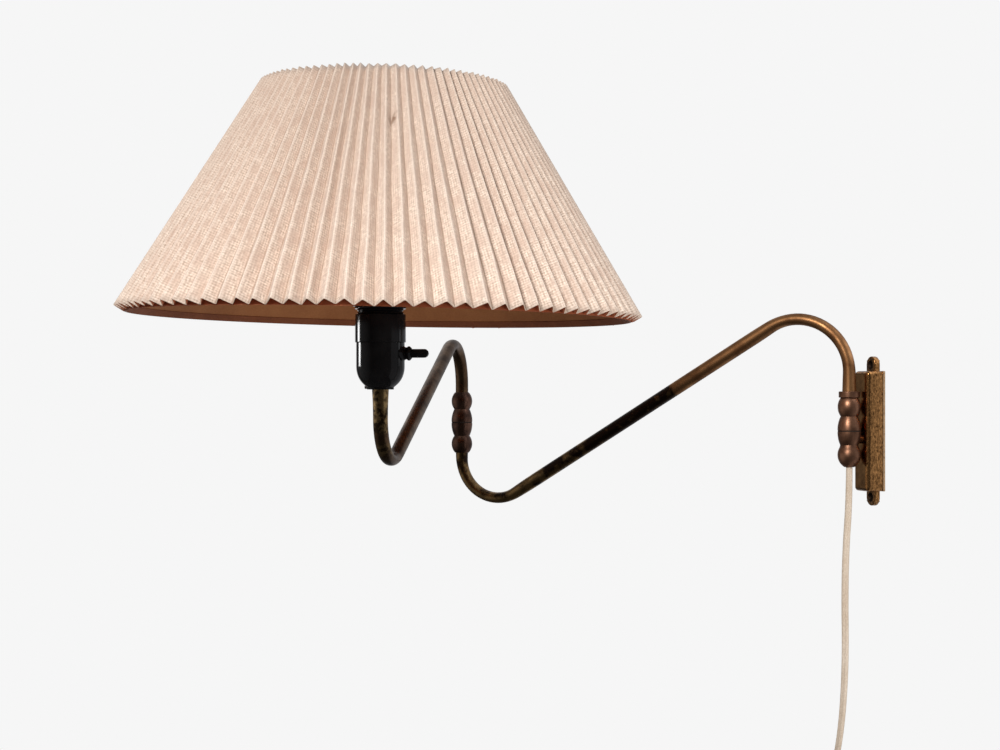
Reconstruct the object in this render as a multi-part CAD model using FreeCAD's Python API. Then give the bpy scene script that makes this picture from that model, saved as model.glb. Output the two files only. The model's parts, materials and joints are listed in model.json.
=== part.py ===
import FreeCAD, Part
import math
import os

# Articulated wall lamp, in millimetres.
# The wall is the plane Y = 0, the lamp stands out towards -Y, and +Z is up.
# The origin is on the wall, behind the middle of the bracket.

# Clearances
FIT_GAP = 0.1           # radial, between pieces that are fixed together
RUNNING_GAP = 0.08      # radial, between a pivot and what turns on it
FACE_GAP = 0.3          # between faces that pass each other

# Wall bracket
BRACKET_WIDTH = 24.0
BRACKET_HEIGHT = 106.0
PLATE_THICKNESS = 2.6
BODY_DEPTH = 15.4
BODY_EDGE_RADIUS = 4.0
BODY_END_RADIUS = 1.5
STRAP_WIDTH = 15.0
STRAP_THICKNESS = 5.5
STRAP_LENGTH = 132.0
WALL_HOLE_RADIUS = 2.6
BRACKET_SCREW_RADIUS = 2.0
BRACKET_SCREW_HEAD = 3.6
BRACKET_SCREW_BITE = 4.0
BRACKET_SCREW_SPACING = 60.0
STUD_RADIUS = 4.0
STUD_SEAT = 4.0
STUD_TO_PIVOT = 0.6     # between the stud's end and the pivot's bore
STUD_BELOW_SPLIT = 7.0
COLUMN_STANDOFF = 1.0   # between the beads and the front of the bracket

# Beaded joints: two beads with a barrel between them, split across its middle
BEAD_RADIUS = 10.1
BEAD_HEIGHT = 16.5
BARREL_RADIUS = 10.2
BARREL_HALF = 13.0
WAIST_RADIUS = 7.5
WASHER_THICKNESS = 0.8
WASHER_RADIUS = 9.4
PIVOT_RADIUS = 5.0
PIVOT_BORE = 3.6
PIVOT_ABOVE_SPLIT = 20.0
PIVOT_BELOW_SPLIT = 24.0
SOCKET_FLOOR = 15.0     # from the split to the floor of a tube's socket
NUT_RADIUS = 6.1
NUT_HEIGHT = 4.0
NUT_SLOT_WIDTH = 1.6
NUT_SLOT_DEPTH = 0.7
COLLAR_RADIUS = 8.65
COLLAR_HEIGHT = 5.5
GLAND_RADIUS = 4.2
GLAND_SEAT = 2.0
GLAND_PROUD = 1.5

# Arms: S-shaped tubes, up from one joint, over, down and up into the next
TUBE_RADIUS = 6.5
TUBE_WALL = 1.0
INNER_REACH = 388.5
INNER_HEADING = -45.7   # degrees from -Y, counter-clockwise seen from above
INNER_TOP = 99.5        # centreline heights are from the wall joint's split
INNER_TOP_BEND = 48.0
INNER_LOW = -68.0
INNER_LOW_BEND = 39.0
ELBOW_RISE = 4.7
OUTER_REACH = 300.0
OUTER_HEADING = 60.1
OUTER_TOP = 79.6
OUTER_TOP_BEND = 39.0
OUTER_LOW = -22.0
OUTER_LOW_BEND = 35.0

# Lampholder, heights from its lower end
HOLDER_RISE = 36.5
CAP_RADIUS = 19.8
CAP_NECK_RADIUS = 11.0
CAP_NECK_HEIGHT = 2.0
CAP_SHOULDER = 19.0
CAP_SWELL_OUT = 0.68    # where the shoulder's arc passes, as shares of its width and height
CAP_SWELL_UP = 0.5
CAP_HEIGHT = 38.4
CAP_WALL = 2.5
CAP_FLOOR = 4.0
NIPPLE_BELOW = 12.0
NIPPLE_ABOVE = 8.0
LOCK_NUT_ACROSS = 14.0
LOCK_NUT_HEIGHT = 3.0
SET_SCREW_RADIUS = 1.5
SET_SCREW_PROUD = 0.9
SKIRT_RADIUS = 20.7
SKIRT_RING_HEIGHT = 23.0
SKIRT_THREAD_RADIUS = 19.0
SKIRT_HEIGHT = 46.6
SKIRT_WALL = 2.5
SKIRT_LEDGE = 2.0
SKIRT_LEDGE_BORE = 13.0
INSERT_FLOOR = 9.6
INSERT_RIM = 10.0
SHELL_BORE = 13.25
SHELL_WALL = 0.95
SHELL_HEIGHT = 30.0
CONTACT_RADIUS = 4.0
CONTACT_HEIGHT = 2.5
TERMINAL_RADIUS = 1.5
TERMINAL_HEAD_RADIUS = 2.6
TERMINAL_HEAD = 2.8
TERMINAL_BITE = 5.6
TERMINAL_BACK = 5.0
TERMINAL_SIDE = 7.5
WIRE_RADIUS = 1.1
LEAD_INSIDE_HOLDER = 10.0

# Rotary switch in the side of the cap
SWITCH_HEIGHT_UP = 29.4
SWITCH_BACK = 6.5
SWITCH_LENGTH = 8.5
SWITCH_WIDTH = 14.0
SWITCH_TALL = 16.0
BUSHING_RADIUS = 5.0
BUSHING_NECK = 2.4      # from the cap to the nut part
BUSHING_NUT_RADIUS = 5.9
BUSHING_NUT = 4.0
KEY_RADIUS = 3.6
KEY_SEAT = 5.5
KEY_PROUD = 20.7
KEY_BLADE = 9.0
KEY_BLADE_THICKNESS = 5.0

# Shade and what carries it
RING_LOWER_RADIUS = 21.0
RING_LOWER_HEIGHT = 2.1
RING_LOWER_UP = 4.4     # above the skirt's ring
RING_UPPER_RADIUS = 20.6
RING_UPPER_HEIGHT = 5.8
FITTER_RADIUS = 22.5
FITTER_THICKNESS = 1.2
SPOKES = 3
SPOKE_RADIUS = 1.2
SPOKE_INSET = 0.6       # from the fitter's edge to the middle of a spoke's foot
TOP_RING_WIRE = 1.5
TOP_RING_DOWN = 5.0
PLEATS = 94
PLEAT_SHARE = 0.953     # valley radius to ridge radius at one height
SHADE_RIM_RADIUS = 214.0
SHADE_TOP_RADIUS = 101.0
SHADE_HEIGHT = 185.0    # along the axis, at the ridges
SHADE_BELOW_FITTER = 4.4
SHADE_SHEET = 0.6
LINING_THICKNESS = 0.8
LINING_TRIM = 0.5       # from the valleys' ends to the lining's edges
SHADE_LEAN = 1.1        # degrees that the shade sits out of true
SHADE_LEAN_HEADING = 161.7

# Cord
CORD_RADIUS = 3.0
ROUNDING = 0.45         # share of the shorter run that a bend takes up
COIL_TURNS = 8
COIL_LAYERS = 4
COIL_STEP = 6.5         # between turns, and between layers
COIL_RADIUS = 33.0      # at the middle of the turns
COIL_X = 14.0
COIL_Y = -30.5          # first layer; the others lie nearer the wall
COIL_Z = -330.0
COIL_LEAD = 2 * CORD_RADIUS
ARCS_PER_TURN = 8       # of the coil
TAIL_LENGTH = 24.0
TIE_GAP = 0.8
TIE_THICKNESS = 1.0
TIE_WIDTH = 8.0
RELIEF_HEIGHT = 20.0
RELIEF_TOP_RADIUS = 4.2
RELIEF_LOW_RADIUS = 6.2
PLUG_WIDTH = 26.0
PLUG_DEPTH = 14.0
PLUG_HEIGHT = 32.0
PLUG_EDGE_RADIUS = 4.0
PIN_RADIUS = 2.0
PIN_LENGTH = 19.0
PIN_SPACING = 19.0

# Places that follow from the sizes
BRACKET_DEPTH = PLATE_THICKNESS + BODY_DEPTH
COLUMN_Y = -(BRACKET_DEPTH + COLUMN_STANDOFF + max(BEAD_RADIUS, BARREL_RADIUS))
WALL_HOLE_UP = STRAP_LENGTH / 2 - STRAP_WIDTH / 2
COLUMN_HALF = BARREL_HALF + BEAD_HEIGHT
LOWER_FACE = -WASHER_THICKNESS / 2
UPPER_FACE = WASHER_THICKNESS / 2 + FACE_GAP
SOCKET_RADIUS = TUBE_RADIUS + FIT_GAP
TUBE_START = PIVOT_ABOVE_SPLIT + 3 * FACE_GAP
LEAD_START = PIVOT_ABOVE_SPLIT + 2 * FACE_GAP
GLAND_LOW = -COLUMN_HALF - GLAND_PROUD
SKIRT_LOW = CAP_HEIGHT
SKIRT_TOP = SKIRT_LOW + SKIRT_HEIGHT
INSERT_LOW = SKIRT_LOW + SKIRT_LEDGE
INSERT_TOP = INSERT_LOW + INSERT_FLOOR
RING_LOWER_Z = SKIRT_LOW + SKIRT_RING_HEIGHT + RING_LOWER_UP
FITTER_Z = RING_LOWER_Z + RING_LOWER_HEIGHT
RING_UPPER_Z = FITTER_Z + FITTER_THICKNESS
RING_UPPER_TOP = RING_UPPER_Z + RING_UPPER_HEIGHT
RIM_Z = FITTER_Z - SHADE_BELOW_FITTER
COIL_SPAN = COIL_STEP * COIL_TURNS / COIL_LAYERS
COIL_OUTER = COIL_RADIUS + COIL_SPAN / 2
COIL_ENTRY_X = COIL_X - COIL_OUTER
COIL_LAST_Y = COIL_Y + COIL_STEP * (COIL_LAYERS - 1)
TAIL_TOP = COIL_Z - COIL_LEAD
PLUG_TOP = TAIL_TOP - TAIL_LENGTH

UP = FreeCAD.Vector(0, 0, 1)
ALONG_X = FreeCAD.Vector(1, 0, 0)
ALONG_Y = FreeCAD.Vector(0, 1, 0)
ORIGIN = FreeCAD.Vector(0, 0, 0)
nodes = {}


def vec(x, y, z):
    return FreeCAD.Vector(x, y, z)


def heading(degrees):
    """Level direction that a heading points in."""
    turn = math.radians(degrees)
    return vec(math.sin(turn), -math.cos(turn), 0)


WALL_JOINT = vec(0, COLUMN_Y, 0)
ELBOW = WALL_JOINT + heading(INNER_HEADING) * INNER_REACH + UP * ELBOW_RISE
HOLDER = vec(ELBOW.x, ELBOW.y, 0) + heading(OUTER_HEADING) * OUTER_REACH + UP * HOLDER_RISE

# The free cord, from the gland down to the entry of its coil
CORD_ROUTE = [
    vec(0, COLUMN_Y, GLAND_LOW),
    vec(0, COLUMN_Y, -60),
    vec(-3, -31.0, -105),
    vec(-4, -31.4, -150),
    vec(-3, -31.2, -195),
    vec(-6, -31.4, -238),
    vec(-12, -32.0, -274),
    vec(COIL_ENTRY_X, COIL_Y, -302),
    vec(COIL_ENTRY_X, COIL_Y, COIL_Z + COIL_LEAD),
]


def moved(shape, place, degrees=0.0):
    """Copy of a shape made at the origin, turned about Z and set in its place."""
    copy = shape.copy()
    copy.rotate(ORIGIN, UP, degrees)
    copy.translate(place)
    return copy


def rod(radius, low, high):
    return Part.makeCylinder(radius, high - low, vec(0, 0, low))


def tube(outer, inner, low, high):
    return rod(outer, low, high).cut(rod(inner, low, high))


def rod_along_x(radius, start, end, height):
    return Part.makeCylinder(radius, end - start, vec(start, 0, height), ALONG_X)


def block(size, centre):
    """Box of a size about a centre."""
    return Part.makeBox(size.x, size.y, size.z, centre - size * 0.5)


def turned(start, *steps):
    """Solid turned about Z from an outline of (radius, height) points.
    A step is an end point, or a (middle, end) pair for an arc."""
    def at(point):
        return vec(point[0], 0, point[1])

    edges = []
    here = start
    for step in (*steps, start):
        if isinstance(step[0], tuple):
            middle, end = step
            edges.append(Part.Arc(at(here), at(middle), at(end)).toShape())
        else:
            end = step
            edges.append(Part.LineSegment(at(here), at(end)).toShape())
        here = end
    return Part.Face(Part.Wire(edges)).revolve(ORIGIN, UP, 360)


def arc_in_corner(start, corner, end):
    """Arc from start to end, tangent to the two equal legs of a corner."""
    leg = (corner - start).Length
    weight = (end - start).Length / (2 * leg)
    middle = (start + corner * (2 * weight) + end) * (1 / (2 + 2 * weight))
    return Part.Arc(start, middle, end).toShape()


def swept(path, radius):
    """Round solid along a wire, square at both ends."""
    first = path.OrderedEdges[0]
    start = first.valueAt(first.FirstParameter)
    section = Part.Wire(Part.makeCircle(radius, start, first.tangentAt(first.FirstParameter)))
    return path.makePipeShell([section], True, False)


def rounded_path(points):
    """Wire of straight runs joined by the largest tangent arcs, with the radii of the arcs."""
    edges = []
    radii = []
    here = points[0]
    for before, corner, after in zip(points, points[1:], points[2:]):
        back = before - corner
        ahead = after - corner
        leg = ROUNDING * min(back.Length, ahead.Length)
        radii.append(leg * math.tan(back.getAngle(ahead) / 2))
        start = corner + back.normalize() * leg
        end = corner + ahead.normalize() * leg
        edges.append(Part.LineSegment(here, start).toShape())
        edges.append(arc_in_corner(start, corner, end))
        here = end
    edges.append(Part.LineSegment(here, points[-1]).toShape())
    return Part.Wire(edges), radii


# Wall bracket
def bracket():
    plate_size = vec(BRACKET_WIDTH, PLATE_THICKNESS, BRACKET_HEIGHT)
    plate = block(plate_size, vec(0, -PLATE_THICKNESS / 2, 0))

    body_size = vec(BRACKET_WIDTH, BODY_DEPTH, BRACKET_HEIGHT)
    body = block(body_size, vec(0, -PLATE_THICKNESS - BODY_DEPTH / 2, 0))
    front_edges = [e for e in body.Edges
                   if e.BoundBox.YMax < -BRACKET_DEPTH + FIT_GAP and e.BoundBox.XLength < FIT_GAP]
    body = body.makeFillet(BODY_EDGE_RADIUS, front_edges)
    end_edges = [e for e in body.Edges
                 if e.BoundBox.ZLength < FIT_GAP and e.BoundBox.YMin < -PLATE_THICKNESS - FIT_GAP]
    body = body.makeFillet(BODY_END_RADIUS, end_edges)

    strap_middle = vec(0, -PLATE_THICKNESS - STRAP_THICKNESS / 2, 0)
    strap = block(vec(STRAP_WIDTH, STRAP_THICKNESS, 2 * WALL_HOLE_UP), strap_middle)
    slot_size = vec(STRAP_WIDTH + 2 * FIT_GAP, STRAP_THICKNESS + FIT_GAP, BRACKET_HEIGHT)
    slot = block(slot_size, strap_middle - ALONG_Y * (FIT_GAP / 2))
    body = body.cut(slot)
    strap_back = -PLATE_THICKNESS
    for side in (1, -1):
        lug_end = vec(0, strap_back, side * WALL_HOLE_UP)
        strap = strap.fuse(Part.makeCylinder(STRAP_WIDTH / 2, STRAP_THICKNESS, lug_end, -ALONG_Y))
    strap = strap.removeSplitter()
    for side in (1, -1):
        lug_end = vec(0, strap_back, side * WALL_HOLE_UP)
        strap = strap.cut(Part.makeCylinder(WALL_HOLE_RADIUS, STRAP_THICKNESS, lug_end, -ALONG_Y))

    screws = []
    shank_end = -PLATE_THICKNESS - STRAP_THICKNESS - BRACKET_SCREW_BITE
    for side in (1, -1):
        height = side * BRACKET_SCREW_SPACING / 2
        head = Part.makeCone(BRACKET_SCREW_HEAD, BRACKET_SCREW_RADIUS, PLATE_THICKNESS,
                             vec(0, 0, height), -ALONG_Y)
        shank = Part.makeCylinder(BRACKET_SCREW_RADIUS, -PLATE_THICKNESS - shank_end,
                                  vec(0, -PLATE_THICKNESS, height), -ALONG_Y)
        screws.append(head.fuse(shank).removeSplitter())
        seat = Part.makeCone(BRACKET_SCREW_HEAD + FIT_GAP, BRACKET_SCREW_RADIUS + FIT_GAP, PLATE_THICKNESS,
                             vec(0, 0, height), -ALONG_Y)
        hole = Part.makeCylinder(BRACKET_SCREW_RADIUS + FIT_GAP, FIT_GAP - PLATE_THICKNESS - shank_end,
                                 vec(0, -PLATE_THICKNESS, height), -ALONG_Y)
        plate = plate.cut(seat)
        strap = strap.cut(hole)
        body = body.cut(hole)

    stud_start = -BRACKET_DEPTH + STUD_SEAT
    stud_end = COLUMN_Y + PIVOT_RADIUS + STUD_TO_PIVOT
    stud_base = vec(0, stud_start, -STUD_BELOW_SPLIT)
    stud = Part.makeCylinder(STUD_RADIUS, stud_start - stud_end, stud_base, -ALONG_Y)
    stud_hole = Part.makeCylinder(STUD_RADIUS + FIT_GAP, stud_start - stud_end, stud_base, -ALONG_Y)
    nodes["back_plate"] = plate
    nodes["mounting_strap"] = strap
    nodes["bracket_body"] = body.cut(stud_hole)
    nodes["bracket_screws"] = Part.Compound(screws)
    nodes["bracket_stud"] = stud
    return stud_hole


# Beaded joints
def knuckle(side, face, bores):
    """Half of a beaded joint about the origin, above its split (side 1) or below it (side -1).
    Each bore is (radius, from, to) in distances from the split."""
    bulge = BARREL_RADIUS - WAIST_RADIUS
    curve = (BARREL_HALF ** 2 + bulge ** 2) / (2 * bulge)
    half_angle = math.asin(BARREL_HALF / curve) / 2
    barrel_middle = (BARREL_RADIUS - curve + curve * math.cos(half_angle),
                     side * curve * math.sin(half_angle))
    waist = (WAIST_RADIUS, side * BARREL_HALF)
    bead_middle = (BEAD_RADIUS, side * (BARREL_HALF + BEAD_HEIGHT / 2))
    bead_end = (WAIST_RADIUS, side * COLUMN_HALF)
    solid = turned((0, 0), (BARREL_RADIUS, 0), (barrel_middle, waist), (bead_middle, bead_end),
                   (0, side * COLUMN_HALF))
    for radius, near, far in [(2 * BARREL_RADIUS, 0, face), *bores]:
        solid = solid.cut(rod(radius, min(side * near, side * far), max(side * near, side * far)))
    return solid


def slotted_nut(low):
    nut = tube(NUT_RADIUS, PIVOT_RADIUS + FIT_GAP, low, low + NUT_HEIGHT)
    slot = vec(2 * NUT_RADIUS, NUT_SLOT_WIDTH, NUT_SLOT_DEPTH)
    return nut.cut(block(slot, vec(0, 0, low + NUT_HEIGHT - NUT_SLOT_DEPTH / 2)))


def joint_washer():
    return tube(WASHER_RADIUS, PIVOT_RADIUS + FIT_GAP, LOWER_FACE, LOWER_FACE + WASHER_THICKNESS)


def upper_knuckle():
    return knuckle(1, UPPER_FACE, [(PIVOT_RADIUS + RUNNING_GAP, 0, SOCKET_FLOOR),
                                   (SOCKET_RADIUS, SOCKET_FLOOR, COLUMN_HALF)])


def wall_joint(stud_hole):
    lower = knuckle(-1, -LOWER_FACE, [
        (PIVOT_RADIUS + FIT_GAP, 0, PIVOT_BELOW_SPLIT),
        (PIVOT_BORE, PIVOT_BELOW_SPLIT, COLUMN_HALF),
        (GLAND_RADIUS + FIT_GAP, COLUMN_HALF - GLAND_SEAT, COLUMN_HALF),
    ])
    gland_top = GLAND_SEAT - COLUMN_HALF
    pieces = {
        "wall_pivot_tube": tube(PIVOT_RADIUS, PIVOT_BORE, -PIVOT_BELOW_SPLIT, PIVOT_ABOVE_SPLIT),
        "wall_washer": joint_washer(),
        "wall_pivot_nut": slotted_nut(SOCKET_FLOOR + FACE_GAP),
        "wall_upper_knuckle": upper_knuckle(),
        "wall_collar": tube(COLLAR_RADIUS, SOCKET_RADIUS, COLUMN_HALF, COLUMN_HALF + COLLAR_HEIGHT),
        "cord_gland": tube(GLAND_RADIUS, CORD_RADIUS + FIT_GAP, GLAND_LOW, gland_top),
        "column_lead": rod(CORD_RADIUS, GLAND_LOW, PIVOT_ABOVE_SPLIT),
    }
    for name, piece in pieces.items():
        nodes[name] = moved(piece, WALL_JOINT)
    nodes["wall_lower_knuckle"] = moved(lower, WALL_JOINT).cut(stud_hole)


def elbow_joint():
    lower = knuckle(-1, -LOWER_FACE, [(PIVOT_RADIUS + FIT_GAP, 0, SOCKET_FLOOR),
                                      (SOCKET_RADIUS, SOCKET_FLOOR, COLUMN_HALF)])
    pieces = {
        "elbow_lower_knuckle": lower,
        "elbow_pivot_tube": tube(PIVOT_RADIUS, PIVOT_BORE, -SOCKET_FLOOR, PIVOT_ABOVE_SPLIT),
        "elbow_washer": joint_washer(),
        "elbow_pivot_nut": slotted_nut(SOCKET_FLOOR + FACE_GAP),
        "elbow_upper_knuckle": upper_knuckle(),
    }
    for name, piece in pieces.items():
        nodes[name] = moved(piece, ELBOW)


# Arms
def arm_path(base, degrees, reach, low_end, high_end, top, top_bend, low, low_bend):
    """Centreline of an arm: up, over the top bend, down in a straight line, round the low bend and up.
    low_end is the height where it starts, and high_end the height where it ends."""
    over = (top_bend, top - top_bend)
    under = (reach - low_bend, low + low_bend)
    apart = math.hypot(under[0] - over[0], under[1] - over[1])
    fall = math.atan2(under[1] - over[1], under[0] - over[0])
    fall -= math.asin((top_bend + low_bend) / apart)

    def at(out, height):
        return vec(base.x, base.y, height) + heading(degrees) * out

    def on(centre, radius, angle):
        return at(centre[0] + radius * math.cos(angle), centre[1] + radius * math.sin(angle))

    leave = fall + math.pi / 2
    meet = fall - math.pi / 2
    return Part.Wire([
        Part.LineSegment(at(0, low_end), at(0, over[1])).toShape(),
        Part.Arc(at(0, over[1]), on(over, top_bend, (math.pi + leave) / 2),
                 on(over, top_bend, leave)).toShape(),
        Part.LineSegment(on(over, top_bend, leave), on(under, low_bend, meet)).toShape(),
        Part.Arc(on(under, low_bend, meet), on(under, low_bend, meet / 2), at(reach, under[1])).toShape(),
        Part.LineSegment(at(reach, under[1]), at(reach, high_end)).toShape(),
    ])


def arm(name, tube_ends, lead_ends, *route):
    """Tube of an arm and the lead inside it, between the heights of their ends."""
    base, degrees, reach, *bends = route
    path = arm_path(base, degrees, reach, *tube_ends, *bends)
    nodes[name + "_tube"] = swept(path, TUBE_RADIUS).cut(swept(path, TUBE_RADIUS - TUBE_WALL))
    lead_path = arm_path(base, degrees, reach, *lead_ends, *bends)
    nodes[name + "_lead"] = swept(lead_path, CORD_RADIUS)


def arms():
    elbow = ELBOW_RISE
    arm("inner_arm", (TUBE_START, elbow - SOCKET_FLOOR), (LEAD_START, elbow + PIVOT_ABOVE_SPLIT),
        WALL_JOINT, INNER_HEADING, INNER_REACH, INNER_TOP, INNER_TOP_BEND, INNER_LOW, INNER_LOW_BEND)
    lead_end = HOLDER_RISE + LEAD_INSIDE_HOLDER
    arm("outer_arm", (elbow + TUBE_START, HOLDER_RISE), (elbow + LEAD_START, lead_end),
        ELBOW, OUTER_HEADING, OUTER_REACH, OUTER_TOP, OUTER_TOP_BEND, OUTER_LOW, OUTER_LOW_BEND)


# Lampholder, made about the origin with the switch key along +X
def swell_between(low, high):
    """Middle of the shoulder's arc between two (radius, height) points."""
    return (low[0] + CAP_SWELL_OUT * (high[0] - low[0]), low[1] + CAP_SWELL_UP * (high[1] - low[1]))


def cap_outside():
    """Cap as a solid: a short neck, a round shoulder and a cylinder."""
    neck = (CAP_NECK_RADIUS, CAP_NECK_HEIGHT)
    shoulder = (CAP_RADIUS, CAP_SHOULDER)
    return turned((0, 0), (CAP_NECK_RADIUS, 0), neck, (swell_between(neck, shoulder), shoulder),
                  (CAP_RADIUS, CAP_HEIGHT), (0, CAP_HEIGHT))


def cap_hollow():
    """Room inside the cap, a wall in from its outside."""
    neck = (CAP_NECK_RADIUS - CAP_WALL, CAP_FLOOR)
    shoulder = (CAP_RADIUS - CAP_WALL, CAP_SHOULDER + CAP_WALL)
    return turned((0, CAP_FLOOR), neck, (swell_between(neck, shoulder), shoulder),
                  (shoulder[0], CAP_HEIGHT), (0, CAP_HEIGHT))


def lock_nut():
    sides = 6
    corner = LOCK_NUT_ACROSS / 2 / math.cos(math.pi / sides)
    angles = [2 * math.pi * k / sides for k in range(sides + 1)]
    points = [vec(corner * math.cos(a), corner * math.sin(a), CAP_FLOOR) for a in angles]
    prism = Part.Face(Part.makePolygon(points)).extrude(UP * LOCK_NUT_HEIGHT)
    return prism.cut(rod(PIVOT_RADIUS + FIT_GAP, CAP_FLOOR, CAP_FLOOR + LOCK_NUT_HEIGHT))


def switch():
    """Switch block, its threaded bush and the key, along +X at the switch's height."""
    middle = SWITCH_HEIGHT_UP
    front = SWITCH_BACK + SWITCH_LENGTH
    key_hole = KEY_RADIUS + RUNNING_GAP
    seat = front - KEY_SEAT
    body = block(vec(SWITCH_LENGTH, SWITCH_WIDTH, SWITCH_TALL), vec((SWITCH_BACK + front) / 2, 0, middle))
    nut_start = CAP_RADIUS + BUSHING_NECK
    nut_end = nut_start + BUSHING_NUT
    nut = rod_along_x(BUSHING_NUT_RADIUS, nut_start, nut_end, middle)
    nut = nut.makeChamfer(BUSHING_NUT / 3, [e for e in nut.Edges if e.BoundBox.XLength < FIT_GAP])
    bushing = rod_along_x(BUSHING_RADIUS, front, nut_start, middle).fuse(nut)
    tip = CAP_RADIUS + KEY_PROUD
    key = rod_along_x(KEY_RADIUS, seat + FACE_GAP, tip - KEY_RADIUS, middle)
    key = key.fuse(Part.makeSphere(KEY_RADIUS, vec(tip - KEY_RADIUS, 0, middle))).removeSplitter()
    for side in (1, -1):
        flat = vec(KEY_BLADE, KEY_RADIUS, 2 * KEY_RADIUS)
        out = side * (KEY_BLADE_THICKNESS + KEY_RADIUS) / 2
        key = key.cut(block(flat, vec(tip - KEY_BLADE / 2, out, middle)))
    return {
        "switch_body": body.cut(rod_along_x(key_hole, seat, front, middle)),
        "switch_bushing": bushing.cut(rod_along_x(key_hole, front, nut_end, middle)),
        "switch_key": key,
    }


def terminals():
    """Two screws up into the insert, the holes they sit in, and the wires that rise to them."""
    screws = []
    holes = []
    wires = []
    for side in (1, -1):
        place = vec(-TERMINAL_BACK, side * TERMINAL_SIDE, INSERT_LOW)
        shank = rod(TERMINAL_RADIUS, -TERMINAL_HEAD, TERMINAL_BITE)
        screws.append(moved(shank.fuse(rod(TERMINAL_HEAD_RADIUS, -TERMINAL_HEAD, 0)).removeSplitter(), place))
        holes.append(moved(rod(TERMINAL_RADIUS + FIT_GAP, 0, TERMINAL_BITE + FIT_GAP), place))
        foot = vec(0, side * (CORD_RADIUS / 2), LEAD_INSIDE_HOLDER)
        head = place - UP * TERMINAL_HEAD
        rise = UP * ((head.z - foot.z) / 3)
        path, _ = rounded_path([foot, foot + rise, head - rise, head])
        wires.append(swept(path, WIRE_RADIUS))
    return screws, holes, wires


def lampholder():
    cap_bore = PIVOT_RADIUS + FIT_GAP
    switch_pieces = switch()
    screws, screw_holes, wires = terminals()

    screw_end = CAP_NECK_RADIUS + SET_SCREW_PROUD
    screw_height = CAP_FLOOR / 2
    screw_seat = PIVOT_RADIUS + 2 * FIT_GAP
    set_screw = rod_along_x(SET_SCREW_RADIUS, -screw_end, -screw_seat, screw_height)
    set_screw_hole = rod_along_x(SET_SCREW_RADIUS + FIT_GAP, -CAP_RADIUS, 0, screw_height)
    bush_hole = rod_along_x(BUSHING_RADIUS + FIT_GAP, 0, 2 * CAP_RADIUS, SWITCH_HEIGHT_UP)
    cap = cap_outside().cut(cap_hollow()).cut(rod(cap_bore, 0, CAP_FLOOR))
    cap = cap.cut(set_screw_hole).cut(bush_hole)

    tube_bore = TUBE_RADIUS - TUBE_WALL
    nipple = rod(tube_bore - FIT_GAP, -NIPPLE_BELOW, 0).fuse(rod(PIVOT_RADIUS, 0, NIPPLE_ABOVE))
    nipple = nipple.cut(rod(PIVOT_BORE, -NIPPLE_BELOW, NIPPLE_ABOVE))

    skirt_bore = SKIRT_THREAD_RADIUS - SKIRT_WALL
    skirt = rod(SKIRT_RADIUS, SKIRT_LOW, SKIRT_LOW + SKIRT_RING_HEIGHT)
    skirt = skirt.fuse(rod(SKIRT_THREAD_RADIUS, SKIRT_LOW + SKIRT_RING_HEIGHT, SKIRT_TOP)).removeSplitter()
    skirt = skirt.cut(rod(skirt_bore, INSERT_LOW, SKIRT_TOP))
    skirt = skirt.cut(rod(SKIRT_LEDGE_BORE, SKIRT_LOW, INSERT_LOW))

    shell_radius = SHELL_BORE + SHELL_WALL
    insert = rod(skirt_bore - FIT_GAP, INSERT_LOW, INSERT_TOP + INSERT_RIM)
    insert = insert.cut(rod(shell_radius + FIT_GAP, INSERT_TOP, INSERT_TOP + INSERT_RIM))
    contact_low = INSERT_TOP - CONTACT_HEIGHT
    insert = insert.cut(rod(CONTACT_RADIUS + FIT_GAP, contact_low, INSERT_TOP))
    for hole in screw_holes:
        insert = insert.cut(hole)

    thread_bore = SKIRT_THREAD_RADIUS + FIT_GAP
    pieces = {
        "holder_cap": cap,
        "holder_nipple": nipple,
        "holder_lock_nut": lock_nut(),
        "holder_set_screw": set_screw,
        "holder_skirt": skirt,
        "socket_insert": insert,
        "socket_shell": tube(shell_radius, SHELL_BORE, INSERT_TOP, INSERT_TOP + SHELL_HEIGHT),
        "centre_contact": rod(CONTACT_RADIUS, contact_low, INSERT_TOP),
        "terminal_screws": Part.Compound(screws),
        "holder_wires": Part.Compound(wires),
        "shade_ring_lower": tube(RING_LOWER_RADIUS, thread_bore, RING_LOWER_Z, FITTER_Z),
        "shade_fitter": tube(FITTER_RADIUS, thread_bore, FITTER_Z, RING_UPPER_Z),
        "shade_ring_upper": tube(RING_UPPER_RADIUS, thread_bore, RING_UPPER_Z, RING_UPPER_TOP),
        **switch_pieces,
    }
    for name, piece in pieces.items():
        nodes[name] = moved(piece, HOLDER, OUTER_HEADING)


# Shade, made about its axis with its ridges' lower ends at height 0
SHADE_SLOPE = (SHADE_RIM_RADIUS - SHADE_TOP_RADIUS) / SHADE_HEIGHT
SHADE_APEX = SHADE_RIM_RADIUS / SHADE_SLOPE


def fold_directions():
    """Directions of the folds from the apex down: a ridge, then a valley, all the way round."""
    folds = []
    for k in range(2 * PLEATS):
        lean = SHADE_SLOPE if k % 2 == 0 else SHADE_SLOPE * PLEAT_SHARE
        angle = math.pi * k / PLEATS
        folds.append(vec(lean * math.cos(angle), lean * math.sin(angle), -1).normalize())
    return folds


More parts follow.
